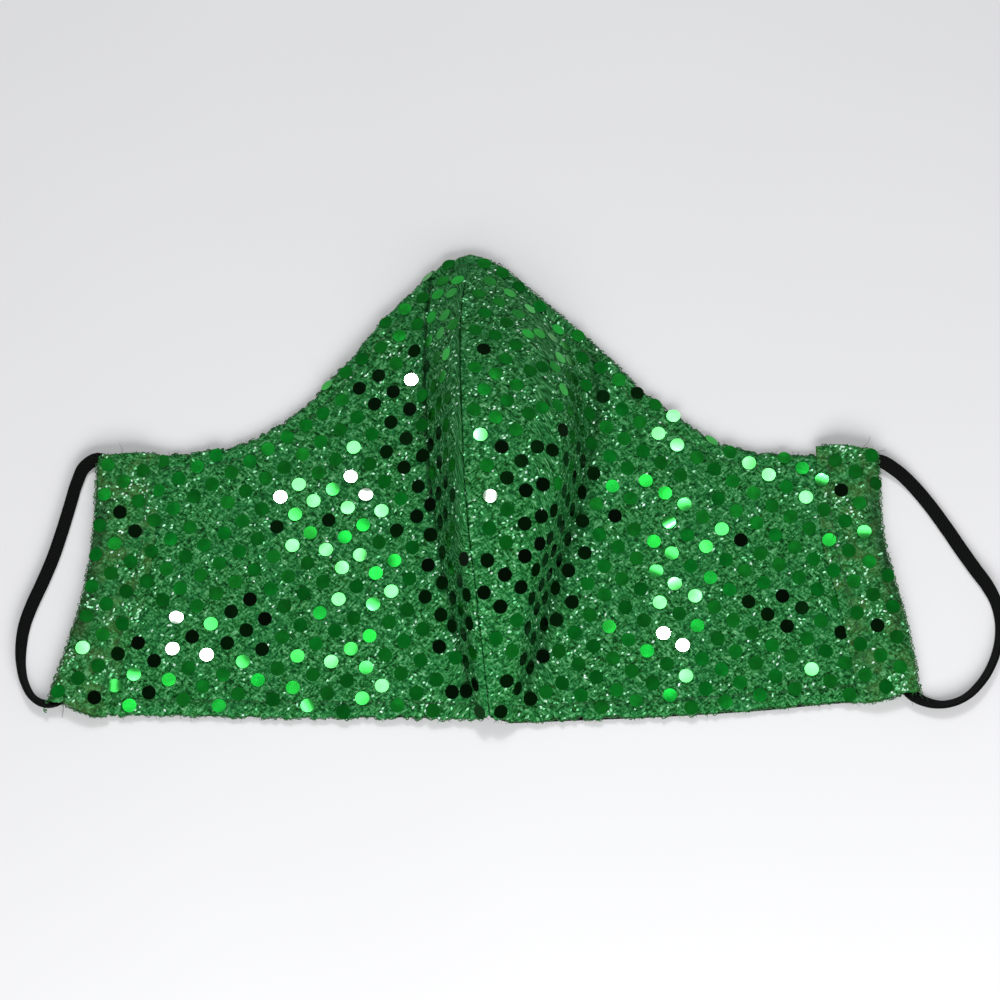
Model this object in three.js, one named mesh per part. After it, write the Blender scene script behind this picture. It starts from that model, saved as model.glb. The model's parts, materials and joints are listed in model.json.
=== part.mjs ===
// Sequin face mask lying hollow side down on a flat surface.
//
// Millimetres. +X runs across the mask, +Y towards the nose peak, +Z up out of the hollow.
// The origin is the middle of the mask's own box (ear loops left out), on the surface it lies on.
//
// The mask is two halves joined by a curved centre seam. Each half is an outer knit over a
// lining, and each end is a flat tube of folded cloth, the casing, that an elastic runs through.
// Everything is worked out from the underside of the lining: a height over the surface that is
// zero on the flat side panels and rises to a ridge along the seam.

import * as THREE from 'three';

// Rows of numbers as objects with the named columns.
function table(columns, rows) {
  return rows.map((row) => Object.fromEntries(columns.map((column, i) => [column, row[i]])));
}

// ---------------------------------------------------------------- driving dimensions

const OUTER_CLOTH = 1.2;     // thickness of the sequined knit
const LINING_CLOTH = 1.0;    // thickness of the lining
const GAP = 0.3;             // clearance between the layers and between the halves
const CASING_GAP = 0.5;      // clearance between a half and its casing
const STACK = LINING_CLOTH + GAP + OUTER_CLOTH;

const CASING_WIDTH = 14.3;   // side casing, across its flat tube
const CASING_HEIGHT = 4.1;
const CASING_WALL = 1.2;

const ELASTIC_WIDTH = 3.2;   // flat braided elastic
const ELASTIC_THICKNESS = 0.9;

const HEM_WIDTH = 3.4;       // edge to topstitch line
const HEM_RISE = 0.35;       // how far the turned hem stands proud between edge and stitches
const LINING_SHOWS = 0.5;    // lining standing out beyond the outer cloth at the bottom edge
const LINING_RECESS = 0.4;   // lining held back behind the outer cloth at the top edge

const NOSE_FALL = 10;        // the raised nose falls to the edge over this width
const NOSE_EDGE_SHARE = 0.12; // share of the ridge's height that is left at the top edge
const STEEPEST = 2.8;        // most that a layer is thickened, measured straight up, on a slope

const SIDES = [-1, 1];       // left half, right half
const ROWS = 17;             // facets of a half from its bottom edge to its top edge
const FACETS_ACROSS = { '-1': 19, '1': 21 }; // facets from the seam to the casing, by side

// Height of the lining's underside (z) and place (x) of each fold line, a row for each section
// across the mask. left: crease at the foot of the short flank. seam: the crest. shoulder: where
// the long flank starts to fall. right: the fold at its foot.
const SECTIONS = table(
  ['y', 'leftX', 'leftZ', 'seamX', 'seamZ', 'shoulderX', 'shoulderZ', 'rightX', 'rightZ'],
  [
    [-56.6,  -2.8, 0.5,  1.1,  2.7,  3.6,  2.1,  8.2, 0.2],
    [-48.6,  -4.0, 2.4,  0.2,  7.4,  4.2,  6.4,  9.8, 0.7],
    [-40.6,  -5.6, 4.2, -0.8, 11.6,  5.0, 10.6, 12.6, 1.2],
    [-30.6,  -7.6, 5.8, -1.9, 15.8,  6.2, 14.6, 15.6, 1.6],
    [-18.6,  -9.9, 6.8, -3.4, 19.2,  9.6, 17.8, 18.6, 2.0],
    [ -4.6, -12.4, 7.0, -4.6, 21.2, 13.2, 19.4, 22.0, 2.2],
    [  9.4, -13.8, 6.8, -5.2, 20.8, 15.0, 18.0, 24.4, 2.2],
    [ 23.4, -14.6, 6.0, -5.7, 17.6, 12.4, 14.8, 24.6, 1.8],
    [ 35.4, -15.2, 4.2, -5.8, 12.6,  6.5, 10.6, 21.5, 1.2],
    [ 46.4, -15.6, 1.8, -5.0,  6.6,  0.6,  5.6, 12.5, 0.5],
    [ 56.4, -14.0, 0.3, -3.8,  1.0, -1.0,  0.7,  4.0, 0.2],
  ],
);

// Top edge of the two halves seen from above: level, then an S-curve up to the nose peak.
const TOP_EDGE = table(['x', 'y'], [
  [-100, 6.7], [-70, 7.3], [-55, 10.7], [-45, 17.2], [-32, 30.7], [-18, 47.5],
  [-10, 54.6], [-3.8, 56.9], [3, 54.6], [11, 47.6], [24, 36.4], [39, 21.4],
  [51, 12.4], [63, 7.6], [100, 6.5],
]);

// Bottom edge: nearly straight, dipping a little right of the seam.
const BOTTOM_EDGE = table(['x', 'y'], [
  [-100, -54.2], [-77, -54.8], [-45, -55.3], [-17, -55.5], [-3, -55.8], [1.1, -55.4],
  [6, -56.3], [19, -55.8], [38, -55], [65, -53.3], [79, -51.9], [100, -50.6],
]);

// Outer edges of the two casings, leaning out towards the bottom.
const SIDE_EDGES = table(['y', 'leftX', 'rightX'], [
  [-56, -101.6, 101.0],
  [-49, -99.9, 100.1],
  [-34, -95.3, 97.9],
  [-22, -92.9, 95.1],
  [-10, -91.8, 92.9],
  [8, -91.6, 92.7],
]);

// Ends of the casings: how far they reach beside the panel and at the outer edge, and how much
// of the outer corner the elastic pulls back.
const CASING_ENDS = [
  { side: -1, end: 'top',    innerY: 7.1,   outerY: 7.1,   pulledBack: 6.4 },
  { side: -1, end: 'bottom', innerY: -56.3, outerY: -51.5, pulledBack: 5.2 },
  { side: 1,  end: 'top',    innerY: 9.1,   outerY: 8.9,   pulledBack: 10.0 },
  { side: 1,  end: 'bottom', innerY: -52.7, outerY: -49.5, pulledBack: 4.0 },
];
const PULLED_CORNER = 0.78;  // share of the casing's width where its pulled-back corner starts
const COVER_FOLLOWS = 0.2;   // share of the pull that the layer over the elastic follows
const COVER_UP_SIDE = 0.8;   // how far up the tube's side that layer starts

// Routes of the ear loops: from inside the casing, out of its top, round, and back in at the
// bottom, so that the two ends all but meet inside.
const LEFT_LOOP = [
  [-86.6, -15.6, 2.05], [-86.0, -8.6, 2.05], [-85.9, -3.1, 2.05], [-86.6, 1.6, 2.05],
  [-88.8, 4.9, 1.95], [-91.8, 6.0, 1.8], [-94.6, 4.4, 1.3], [-96.4, 0.2, 0.8],
  [-97.7, -5.0, 0.6], [-99.2, -11.0, 0.5], [-101.2, -18.0, 0.5], [-103.4, -24.0, 0.5],
  [-105.5, -29.2, 0.5], [-107.0, -34.2, 0.5], [-107.5, -39.2, 0.5], [-107.2, -43.8, 0.5],
  [-106.1, -47.8, 0.6], [-104.1, -51.0, 0.9], [-101.3, -52.4, 1.4], [-98.5, -51.7, 1.9],
  [-96.1, -49.0, 2.05], [-94.4, -45.0, 2.05], [-92.8, -39.4, 2.05], [-91.0, -33.6, 2.05],
  [-89.4, -27.6, 2.05], [-88.0, -21.6, 2.05], [-86.8, -16.4, 2.05],
];
const RIGHT_LOOP = [
  [89.2, -15.6, 2.05], [87.9, -8.6, 2.05], [87.2, -3.4, 2.05], [87.6, 1.4, 2.05],
  [89.7, 4.9, 1.95], [93.0, 5.6, 1.8], [96.9, 3.5, 1.3], [100.7, 0.0, 0.8],
  [104.4, -4.7, 0.6], [108.0, -10.1, 0.5], [111.3, -15.5, 0.5], [114.5, -20.6, 0.5],
  [117.1, -24.6, 0.5], [118.8, -28.5, 0.5], [119.4, -32.8, 0.5], [119.0, -37.4, 0.5],
  [117.4, -42.5, 0.5], [114.4, -47.4, 0.5], [110.1, -51.2, 0.6], [105.2, -52.6, 0.9],
  [101.0, -51.8, 1.5], [97.9, -49.9, 1.9], [95.9, -46.6, 2.05], [94.9, -41.6, 2.05],
  [94.0, -35.1, 2.05], [92.6, -28.6, 2.05], [90.9, -22.0, 2.05], [89.5, -16.4, 2.05],
];
const ELASTIC_STEP = 2.5;    // length of one facet along the elastic

// ---------------------------------------------------------------- materials

const sequinedKnit = new THREE.MeshStandardMaterial({ color: 0x226e32, roughness: 0.45, metalness: 0.35 });
const blackLining = new THREE.MeshStandardMaterial({ color: 0x14160f, roughness: 0.9, metalness: 0 });
const foldedKnit = new THREE.MeshStandardMaterial({ color: 0x29602d, roughness: 0.5, metalness: 0.3 });
const blackElastic = new THREE.MeshStandardMaterial({ color: 0x0f110e, roughness: 0.8, metalness: 0 });

// ---------------------------------------------------------------- tables read as smooth curves

const mix = (a, b, t) => a + (b - a) * t;
const clamp = (value, low, high) => Math.min(high, Math.max(low, value));

// Slope of a monotone cubic through (at[i], value[i]).
function monotoneSlope(at, value, i) {
  const last = at.length - 1;
  const steep = (k) => (value[k + 1] - value[k]) / (at[k + 1] - at[k]);
  if (i === 0) return steep(0);
  if (i === last) return steep(last - 1);
  const before = steep(i - 1);
  const after = steep(i);
  return before * after <= 0 ? 0 : (2 * before * after) / (before + after);
}

function monotoneCurve(at, value, where) {
  const last = at.length - 1;
  const here = clamp(where, at[0], at[last]);
  let i = 0;
  while (i < last - 1 && here > at[i + 1]) i += 1;
  const span = at[i + 1] - at[i];
  const t = (here - at[i]) / span;
  const startSlope = monotoneSlope(at, value, i) * span;
  const endSlope = monotoneSlope(at, value, i + 1) * span;
  const back = 1 - t;
  return value[i] * back * back * (1 + 2 * t) + startSlope * t * back * back
    + value[i + 1] * t * t * (3 - 2 * t) - endSlope * t * t * back;
}

// Column `wanted` of a table, read smoothly where column `along` has the value `where`.
function readTable(table, along, wanted, where) {
  return monotoneCurve(table.map((row) => row[along]), table.map((row) => row[wanted]), where);
}

const topEdgeY = (x) => readTable(TOP_EDGE, 'x', 'y', x);
const bottomEdgeY = (x) => readTable(BOTTOM_EDGE, 'x', 'y', x);
const sideEdgeX = (side, y) => readTable(SIDE_EDGES, 'y', side < 0 ? 'leftX' : 'rightX', y);

// ---------------------------------------------------------------- the underside of a half

// Fold lines of a half, from the seam outwards: the share of the half's facets that lies inside
// each line, its place and its height over the surface, at one section.
function foldLines(side, y) {
  const fold = (name) => readTable(SECTIONS, 'y', name, y);
  const panelEnd = sideEdgeX(side, y) - side * (CASING_WIDTH + CASING_GAP);
  const seam = { share: 0, x: fold('seamX') + side * GAP / 2, z: fold('seamZ') };
  if (side < 0) {
    const footX = fold('leftX');
    const footZ = fold('leftZ');
    return [
      seam,
      { share: 0.26, x: footX, z: footZ },
      { share: 0.46, x: mix(footX, panelEnd, 0.2), z: 0.5 * footZ },
      { share: 0.74, x: mix(footX, panelEnd, 0.55), z: 0 },
      { share: 1, x: panelEnd, z: 0 },
    ];
  }
  const footX = fold('rightX');
  return [
    seam,
    { share: 0.18, x: fold('shoulderX'), z: fold('shoulderZ') },
    { share: 0.42, x: footX, z: fold('rightZ') },
    { share: 0.66, x: mix(footX, panelEnd, 0.4), z: 0 },
    { share: 1, x: panelEnd, z: 0 },
  ];
}

// How much of the ridge's height is left near the top edge.
function noseFall(x, y) {
  const inside = clamp((topEdgeY(x) - y) / NOSE_FALL, 0, 1);
  return mix(NOSE_EDGE_SHARE, 1, inside * (2 - inside));
}

const SETTLING_ROUNDS = 14;

// The underside at a share across (0 seam, 1 casing) and a share along (0 bottom, 1 top).
// x and y depend on each other, so they are found by a few rounds.
function underside(side, across, along) {
  let x = 0;
  let y = 0;
  let lines = [];
  for (let round = 0; round < SETTLING_ROUNDS; round += 1) {
    y = mix(bottomEdgeY(x), topEdgeY(x), along);
    lines = foldLines(side, y);
    x = monotoneCurve(lines.map((line) => line.share), lines.map((line) => line.x), across);
  }
  const ridge = monotoneCurve(lines.map((line) => line.share), lines.map((line) => line.z), across);
  return new THREE.Vector3(x, y, Math.max(0, ridge * noseFall(x, y)));
}

// Thickening that keeps a layer's thickness square to the cloth where the cloth slopes.
function slopeFactor(side, across, along) {
  const step = 0.02;
  const acrossA = underside(side, clamp(across - step, 0, 1), along);
  const acrossB = underside(side, clamp(across + step, 0, 1), along);
  const alongA = underside(side, across, clamp(along - step, 0, 1));
  const alongB = underside(side, across, clamp(along + step, 0, 1));
  const square = acrossB.sub(acrossA).cross(alongB.sub(alongA)).normalize();
  return Math.min(STEEPEST, 1 / Math.max(0.05, Math.abs(square.z)));
}

// Shares along a column where the facets start: two close rows in each hem, the rest even.
function rowShares(length) {
  const hem = [0, 0.5 * HEM_WIDTH, HEM_WIDTH];
  const inner = length - 2 * HEM_WIDTH;
  const innerRows = ROWS - 4;
  const shares = [hem[0], hem[1]];
  for (let i = 0; i <= innerRows; i += 1) shares.push(HEM_WIDTH + (inner * i) / innerRows);
  shares.push(length - hem[1], length);
  return shares.map((distance) => distance / length);
}

// Grid of the underside with the thickening at every point: grid[column][row].
function halfGrid(side) {
  const columns = FACETS_ACROSS[side];
  const grid = [];
  for (let column = 0; column <= columns; column += 1) {
    const across = column / columns;
    const length = underside(side, across, 1).y - underside(side, across, 0).y;
    grid.push(rowShares(length).map((along) => {
      const point = underside(side, across, along);
      const own = slopeFactor(side, across, along);
      const factor = column === 0 ? (own + slopeFactor(-side, 0, along)) / 2 : own;
      return { point, factor };
    }));
  }
  return grid;
}

// ---------------------------------------------------------------- solids from grids

// A closed solid from two grids of points of one size, lower and upper.
function layerSolid(lower, upper) {
  const columns = lower.length;
  const rows = lower[0].length;
  const positions = [...lower.flat(), ...upper.flat()].flatMap((p) => [p.x, p.y, p.z]);
  const low = (c, r) => c * rows + r;
  const high = (c, r) => columns * rows + c * rows + r;
  const index = [];
  const quad = (a, b, c, d) => index.push(a, b, c, a, c, d);
  for (let c = 0; c < columns - 1; c += 1) {
    for (let r = 0; r < rows - 1; r += 1) {
      quad(high(c, r), high(c + 1, r), high(c + 1, r + 1), high(c, r + 1));
      quad(low(c, r), low(c, r + 1), low(c + 1, r + 1), low(c + 1, r));
    }
    quad(low(c, 0), low(c + 1, 0), high(c + 1, 0), high(c, 0));
    quad(low(c + 1, rows - 1), low(c, rows - 1), high(c, rows - 1), high(c + 1, rows - 1));
  }
  for (let r = 0; r < rows - 1; r += 1) {
    quad(low(0, r + 1), low(0, r), high(0, r), high(0, r + 1));
    quad(low(columns - 1, r), low(columns - 1, r + 1), high(columns - 1, r + 1), high(columns - 1, r));
  }
  const geometry = new THREE.BufferGeometry();
  geometry.setAttribute('position', new THREE.Float32BufferAttribute(positions, 3));
  geometry.setIndex(index);
  return geometry;
}

// One layer of a half, between two levels over the underside measured square to the cloth.
// hemRise lifts its upper face inside the hems; the stretches move its bottom and top edges
// out along the cloth, or in where they are negative.
function clothLayer(side, fromLevel, toLevel, hemRise, stretchBottom, stretchTop) {
  const last = ROWS;
  const stretches = { 0: [1, stretchBottom], [last]: [last - 1, stretchTop] };
  const hemLifts = { 0: -hemRise, 1: hemRise, [last - 1]: hemRise, [last]: -hemRise };
  const face = (level, lifts) => halfGrid(side).map((column) => {
    const points = column.map(({ point, factor }, row) => {
      return new THREE.Vector3(point.x, point.y, point.z + level * factor + (lifts[row] ?? 0));
    });
    for (const [row, [next, stretch]] of Object.entries(stretches)) {
      const outwards = points[row].clone().sub(points[next]);
      points[row].addScaledVector(outwards, stretch / outwards.length());
    }
    return points;
  });
  const lower = face(fromLevel, {});
  const upper = face(toLevel, hemLifts);
  return side > 0 ? layerSolid(lower, upper) : layerSolid(lower.reverse(), upper.reverse());
}

// ---------------------------------------------------------------- casings

const tubePoint = (distance, radius, upSide) => {
  return { distance, height: CASING_HEIGHT / 2 + radius * upSide, upSide };
};

// Section of the casing's tube, a flat bar with round ends: each point's distance from the
// panel, its height, and how far up the tube's side it is, from -1 to 1.
function flatTubeSection(inset) {
  const radius = CASING_HEIGHT / 2 - inset;
  const halfTurns = [
    { centre: CASING_WIDTH - CASING_HEIGHT / 2, from: -0.5 * Math.PI },
    { centre: CASING_HEIGHT / 2, from: 0.5 * Math.PI },
  ];
  const steps = 5;
  return halfTurns.flatMap(({ centre, from }) => {
    const points = [];
    for (let i = 0; i <= steps; i += 1) {
      const angle = from + (Math.PI * i) / steps;
      points.push(tubePoint(centre + radius * Math.cos(angle), radius, Math.sin(angle)));
    }
    points.push(tubePoint(CASING_WIDTH / 2, radius, Math.sin(from + Math.PI)));
    return points;
  });
}

// How far the casing's end reaches in Y. The pulled-back corner opens the fold and the layer
// under the elastic, and the layer over the elastic follows it by COVER_FOLLOWS.
function casingEndY(side, end, share, upSide) {
  const row = CASING_ENDS.find((entry) => entry.side === side && entry.end === end);
  const cornerShare = clamp((share - PULLED_CORNER) / (1 - PULLED_CORNER), 0, 1);
  const belowCover = clamp((COVER_UP_SIDE - upSide) / COVER_UP_SIDE * 2, 0, 1);
  const follows = mix(COVER_FOLLOWS, 1, belowCover);
  const pulled = row.pulledBack * Math.sin(0.5 * Math.PI * cornerShare) * follows;
  return mix(row.innerY, row.outerY, share) + (end === 'top' ? -pulled : pulled);
}

function casingPoint(side, along, { distance, height, upSide }) {
  const share = distance / CASING_WIDTH;
  const bottomY = casingEndY(side, 'bottom', share, upSide);
  const y = mix(bottomY, casingEndY(side, 'top', share, upSide), along);
  return new THREE.Vector3(sideEdgeX(side, y) - side * (CASING_WIDTH - distance), y, height);
}

// Flat tube, open at both ends: a ring of quads outside, one inside, and a rim at each end.
function casingGeometry(side) {
  const stations = 9;
  const outline = flatTubeSection(0);
  const bore = flatTubeSection(CASING_WALL);
  const count = outline.length;
  const positions = [];
  for (let station = 0; station < stations; station += 1) {
    const along = station / (stations - 1);
    for (const ring of [outline, bore]) {
      for (const place of ring) positions.push(...casingPoint(side, along, place).toArray());
    }
  }
  const vertex = (station, ring, i) => (station * 2 + ring) * count + (i % count);
  const index = [];
  const quad = (a, b, c, d) => (side < 0 ? index.push(a, c, b, a, d, c) : index.push(a, b, c, a, c, d));
  for (let i = 0; i < count; i += 1) {
    for (let s = 0; s < stations - 1; s += 1) {
      quad(vertex(s, 0, i), vertex(s + 1, 0, i), vertex(s + 1, 0, i + 1), vertex(s, 0, i + 1));
      quad(vertex(s, 1, i), vertex(s, 1, i + 1), vertex(s + 1, 1, i + 1), vertex(s + 1, 1, i));
    }
    const end = stations - 1;
    quad(vertex(0, 0, i), vertex(0, 0, i + 1), vertex(0, 1, i + 1), vertex(0, 1, i));
    quad(vertex(end, 0, i), vertex(end, 1, i), vertex(end, 1, i + 1), vertex(end, 0, i + 1));
  }
  const geometry = new THREE.BufferGeometry();
  geometry.setAttribute('position', new THREE.Float32BufferAttribute(positions, 3));
  geometry.setIndex(index);
  return geometry;
}

// ---------------------------------------------------------------- ear loops

// Flat bar with eight sides; its first axis is the thickness, its second the width.
function elasticSection() {
  const halfWidth = ELASTIC_WIDTH / 2;
  const halfThick = ELASTIC_THICKNESS / 2;
  const corner = 0.5 * halfThick;
  const rightEnd = [
    [halfThick, halfWidth - corner], [corner, halfWidth],
    [-corner, halfWidth], [-halfThick, halfWidth - corner],
  ];
  const leftEnd = rightEnd.map(([thick, width]) => [-thick, -width]);
  return new THREE.Shape([...rightEnd, ...leftEnd].map(([x, y]) => new THREE.Vector2(x, y)));
}

// Smooth route whose frames keep the band's width level.
class LevelRoute extends THREE.CatmullRomCurve3 {
  computeFrenetFrames(segments, closed) {
    const frames = super.computeFrenetFrames(segments, closed);
    frames.tangents.forEach((tangent, i) => {
      frames.binormals[i].set(-tangent.y, tangent.x, 0).normalize();
      frames.normals[i].crossVectors(frames.binormals[i], tangent);
    });
    return frames;
  }
}

function elasticGeometry(route) {
  const points = route.map((point) => new THREE.Vector3(...point));
  const curve = new LevelRoute(points, false, 'centripetal');
  const steps = Math.round(curve.getLength() / ELASTIC_STEP);
  return new THREE.ExtrudeGeometry(elasticSection(), { steps, bevelEnabled: false, extrudePath: curve });
}

// ---------------------------------------------------------------- assembly

function piece(name, geometry, material) {
  const mesh = new THREE.Mesh(geometry, material);
  mesh.name = name;
  return mesh;
}

const mask = new THREE.Group();
for (const side of SIDES) {
  const label = side < 0 ? 'left' : 'right';
  const outer = clothLayer(side, LINING_CLOTH + GAP, STACK, HEM_RISE, 0, 0);
  const lining = clothLayer(side, 0, LINING_CLOTH, 0, LINING_SHOWS, -LINING_RECESS);
  mask.add(piece(`outer_${label}`, outer, sequinedKnit));
  mask.add(piece(`lining_${label}`, lining, blackLining));
  mask.add(piece(`casing_${label}`, casingGeometry(side), foldedKnit));
  mask.add(piece(`ear_loop_${label}`, elasticGeometry(side < 0 ? LEFT_LOOP : RIGHT_LOOP), blackElastic));
}

export default mask;
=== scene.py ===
"""A sequin face mask: the looks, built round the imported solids.

Metres, with +X across the mask, +Y towards the nose peak and +Z up. The mask lies hollow side
down on a pale floor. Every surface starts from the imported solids: the two halves and their
linings are smooth sheets through the solids' own points, and all that is sewn, glued or frayed
on them is placed on those sheets.
"""

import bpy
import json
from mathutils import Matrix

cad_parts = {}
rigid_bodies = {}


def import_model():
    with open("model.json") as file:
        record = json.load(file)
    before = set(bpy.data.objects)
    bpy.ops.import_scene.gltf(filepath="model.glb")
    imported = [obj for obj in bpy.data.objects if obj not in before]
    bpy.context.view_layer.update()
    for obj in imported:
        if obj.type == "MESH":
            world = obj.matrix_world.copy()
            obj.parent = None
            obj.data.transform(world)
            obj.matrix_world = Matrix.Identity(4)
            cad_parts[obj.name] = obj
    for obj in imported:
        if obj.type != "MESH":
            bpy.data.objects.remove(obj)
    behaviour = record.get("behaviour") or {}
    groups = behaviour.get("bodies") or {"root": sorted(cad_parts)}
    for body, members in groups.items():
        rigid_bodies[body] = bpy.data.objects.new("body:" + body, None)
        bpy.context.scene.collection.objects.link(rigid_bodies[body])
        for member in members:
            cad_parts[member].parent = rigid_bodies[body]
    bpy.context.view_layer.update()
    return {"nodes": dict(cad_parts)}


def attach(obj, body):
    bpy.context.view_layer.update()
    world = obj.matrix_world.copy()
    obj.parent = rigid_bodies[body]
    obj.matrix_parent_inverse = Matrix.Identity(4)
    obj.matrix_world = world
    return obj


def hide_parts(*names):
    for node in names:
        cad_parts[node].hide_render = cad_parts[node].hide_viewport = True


bl_info = {
    "name": "Sequin Face Mask",
    "version": (1, 0, 0),
    "blender": (4, 5, 0),
    "location": "View3D > Sidebar > Face Mask",
    "description": "Builds a sequined cloth face mask with elastic ear loops on a plain floor",
    "category": "Add Mesh",
}

import json
import math
from functools import lru_cache

import bpy
import numpy as np
from bpy.props import FloatProperty, FloatVectorProperty, IntProperty, PointerProperty
from mathutils import Vector
from mathutils.bvhtree import BVHTree

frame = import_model()

MM = 0.001
SIDES = {"left": -1, "right": 1}
OFF_FLOOR = 0.02 * MM        # least height of the linings, the casings and the loose threads
HEM_OFF_FLOOR = 0.03 * MM    # least height of the knit's hems and of the elastic's underside


# ------------------------------------------------------------------ settings


class MaskClothSettings(bpy.types.PropertyGroup):
    """Sizes and colours of the cloth and what is on it."""

    outer_thickness: FloatProperty(
        name="Knit thickness", description="Thickness of the sequined knit",
        default=1.0 * MM, min=0.3 * MM, max=2 * MM, subtype="DISTANCE", unit="LENGTH", precision=5)
    hem_width: FloatProperty(
        name="Hem width", description="From the edge of the cloth to the row of stitches",
        default=3.3 * MM, min=1 * MM, max=8 * MM, subtype="DISTANCE", unit="LENGTH", precision=5)
    stitch_pitch: FloatProperty(
        name="Stitch pitch", description="From the start of one stitch to the start of the next",
        default=2.7 * MM, min=1 * MM, max=6 * MM, subtype="DISTANCE", unit="LENGTH", precision=5)
    knit_colour: FloatVectorProperty(
        name="Knit colour", description="Middle colour of the metallic knit",
        default=(0.012, 0.14, 0.026), size=3, min=0, max=1, subtype="COLOR")
    lining_colour: FloatVectorProperty(
        name="Lining colour", description="Colour of the woven lining",
        default=(0.007, 0.0075, 0.007), size=3, min=0, max=1, subtype="COLOR")


class MaskSequinSettings(bpy.types.PropertyGroup):
    """Size, spacing and colour of the sequins."""

    diameter: FloatProperty(
        name="Sequin diameter", description="Diameter of one round sequin",
        default=3.25 * MM, min=1 * MM, max=6 * MM, subtype="DISTANCE", unit="LENGTH", precision=5)
    thickness: FloatProperty(
        name="Sequin thickness", description="Thickness of the foil of one sequin",
        default=0.06 * MM, min=0.02 * MM, max=0.4 * MM, subtype="DISTANCE", unit="LENGTH", precision=5)
    foil_colour: FloatVectorProperty(
        name="Foil colour", description="Colour of the sequins' foil",
        default=(0.006, 0.43, 0.036), size=3, min=0, max=1, subtype="COLOR")
    flecks_per_square: IntProperty(
        name="Metallic flecks", description="Flecks of metallic yarn on each square centimetre",
        default=20, min=0, max=200)


class MaskElasticSettings(bpy.types.PropertyGroup):
    """Size and colour of the ear loops' elastic."""

    width: FloatProperty(
        name="Elastic width", description="Width of the flat elastic",
        default=3.2 * MM, min=1 * MM, max=8 * MM, subtype="DISTANCE", unit="LENGTH", precision=5)
    thickness: FloatProperty(
        name="Elastic thickness", description="Thickness of the flat elastic",
        default=0.85 * MM, min=0.3 * MM, max=2 * MM, subtype="DISTANCE", unit="LENGTH", precision=5)
    colour: FloatVectorProperty(
        name="Elastic colour", description="Colour of the elastic",
        default=(0.0035, 0.004, 0.0035), size=3, min=0, max=1, subtype="COLOR")


class MaskStageSettings(bpy.types.PropertyGroup):
    """Floor, lights and camera."""

    floor_colour: FloatVectorProperty(
        name="Floor colour", description="Colour of the plain floor",
        default=(0.80, 0.80, 0.81), size=3, min=0, max=1, subtype="COLOR")
    camera_distance: FloatProperty(
        name="Camera distance", description="From the camera to the point that it looks at",
        default=0.5664, min=0.2, max=2, subtype="DISTANCE", unit="LENGTH")
    camera_elevation: FloatProperty(
        name="Camera elevation", description="Angle of the camera above the floor",
        default=math.radians(75), min=0, max=math.pi / 2, subtype="ANGLE", unit="ROTATION")
    room_light: FloatProperty(
        name="Room light", description="Brightness of the plain surroundings",
        default=0.25, min=0, max=2)


# ------------------------------------------------------------------ reading the solids

RIM_STEEPNESS = 0.2      # a face whose normal lies flatter than this is a rim, not cloth


def welded(node):
    """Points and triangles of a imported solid, with the points that coincide made one."""
    mesh = frame["nodes"][node].data
    mesh.calc_loop_triangles()
    points = np.array([vertex.co for vertex in mesh.vertices])
    corners = np.array([triangle.vertices for triangle in mesh.loop_triangles])
    unique, place = np.unique(np.round(points, 6), axis=0, return_inverse=True)
    return unique, place.reshape(-1)[corners]


def facing_down(points, triangles):
    """The triangles that face down, without the rims."""
    a, b, c = (points[triangles[:, k]] for k in range(3))
    normals = unit(np.cross(b - a, c - a))
    return triangles[normals[:, 2] < -RIM_STEEPNESS]


def rim_loop(triangles):
    """Indices of the points round a patch of triangles, in order."""
    edges = {(int(t[k]), int(t[(k + 1) % 3])) for t in triangles for k in range(3)}
    after = {a: b for a, b in edges if (b, a) not in edges}
    loop = [min(after)]
    while after[loop[-1]] != loop[0]:
        loop.append(after[loop[-1]])
    return loop


def runs_between(loop, corners):
    """The loop cut into four runs at its corners, which are given in order round it."""
    start = loop.index(corners[0])
    loop = loop[start:] + loop[:start]
    if loop.index(corners[1]) > loop.index(corners[2]):
        loop = [loop[0]] + loop[:0:-1]
    stops = [loop.index(corner) for corner in corners] + [len(loop)]
    closed = loop + [loop[0]]
    return [closed[a:b + 1] for a, b in zip(stops, stops[1:])]


def third_corners(triangles):
    """For each edge, the corners that face it across its triangles."""
    third = {}
    for triangle in triangles.tolist():
        for k in range(3):
            edge = frozenset((triangle[k], triangle[(k + 1) % 3]))
            third.setdefault(edge, []).append(triangle[(k + 2) % 3])
    return third


def cloth_grid(node, side):
    """The underside of a cloth layer as a grid of its points.

    Columns run from the seam outwards and rows from the bottom edge up.
    """
    points, triangles = welded(node)
    patch = facing_down(points, triangles)
    outward, y = side * points[:, 0], points[:, 1]
    loop = rim_loop(patch)
    scores = (-outward - y, outward - y, outward + y, y - outward)
    corners = [max(loop, key=lambda i: score[i]) for score in scores]
    bottom, _, top, seam = runs_between(loop, corners)
    top, seam = top[::-1], seam[::-1]
    third = third_corners(patch)
    columns = [seam]
    seen = set(seam)
    for c in range(1, len(bottom)):
        last = columns[-1]
        steps = zip(last, last[1:])
        inner = [next(i for i in third[frozenset(step)] if i not in seen) for step in steps]
        column = inner + [top[c]] if inner[0] == bottom[c] else [bottom[c]] + inner
        columns.append(column)
        seen.update(column)
    return points[np.array(columns)]


# ------------------------------------------------------------------ curves and sheets


def unit(vectors):
    """One vector, or each vector of a list or grid, brought to length 1."""
    if vectors.ndim == 1:
        return vectors / np.linalg.norm(vectors)
    return vectors / np.linalg.norm(vectors, axis=-1, keepdims=True)


def smoothstep(low, high, value):
    t = np.clip((value - low) / (high - low), 0, 1)
    return t * t * (3 - 2 * t)


def bell(value, width):
    return np.exp(-(value / width) ** 2)


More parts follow.
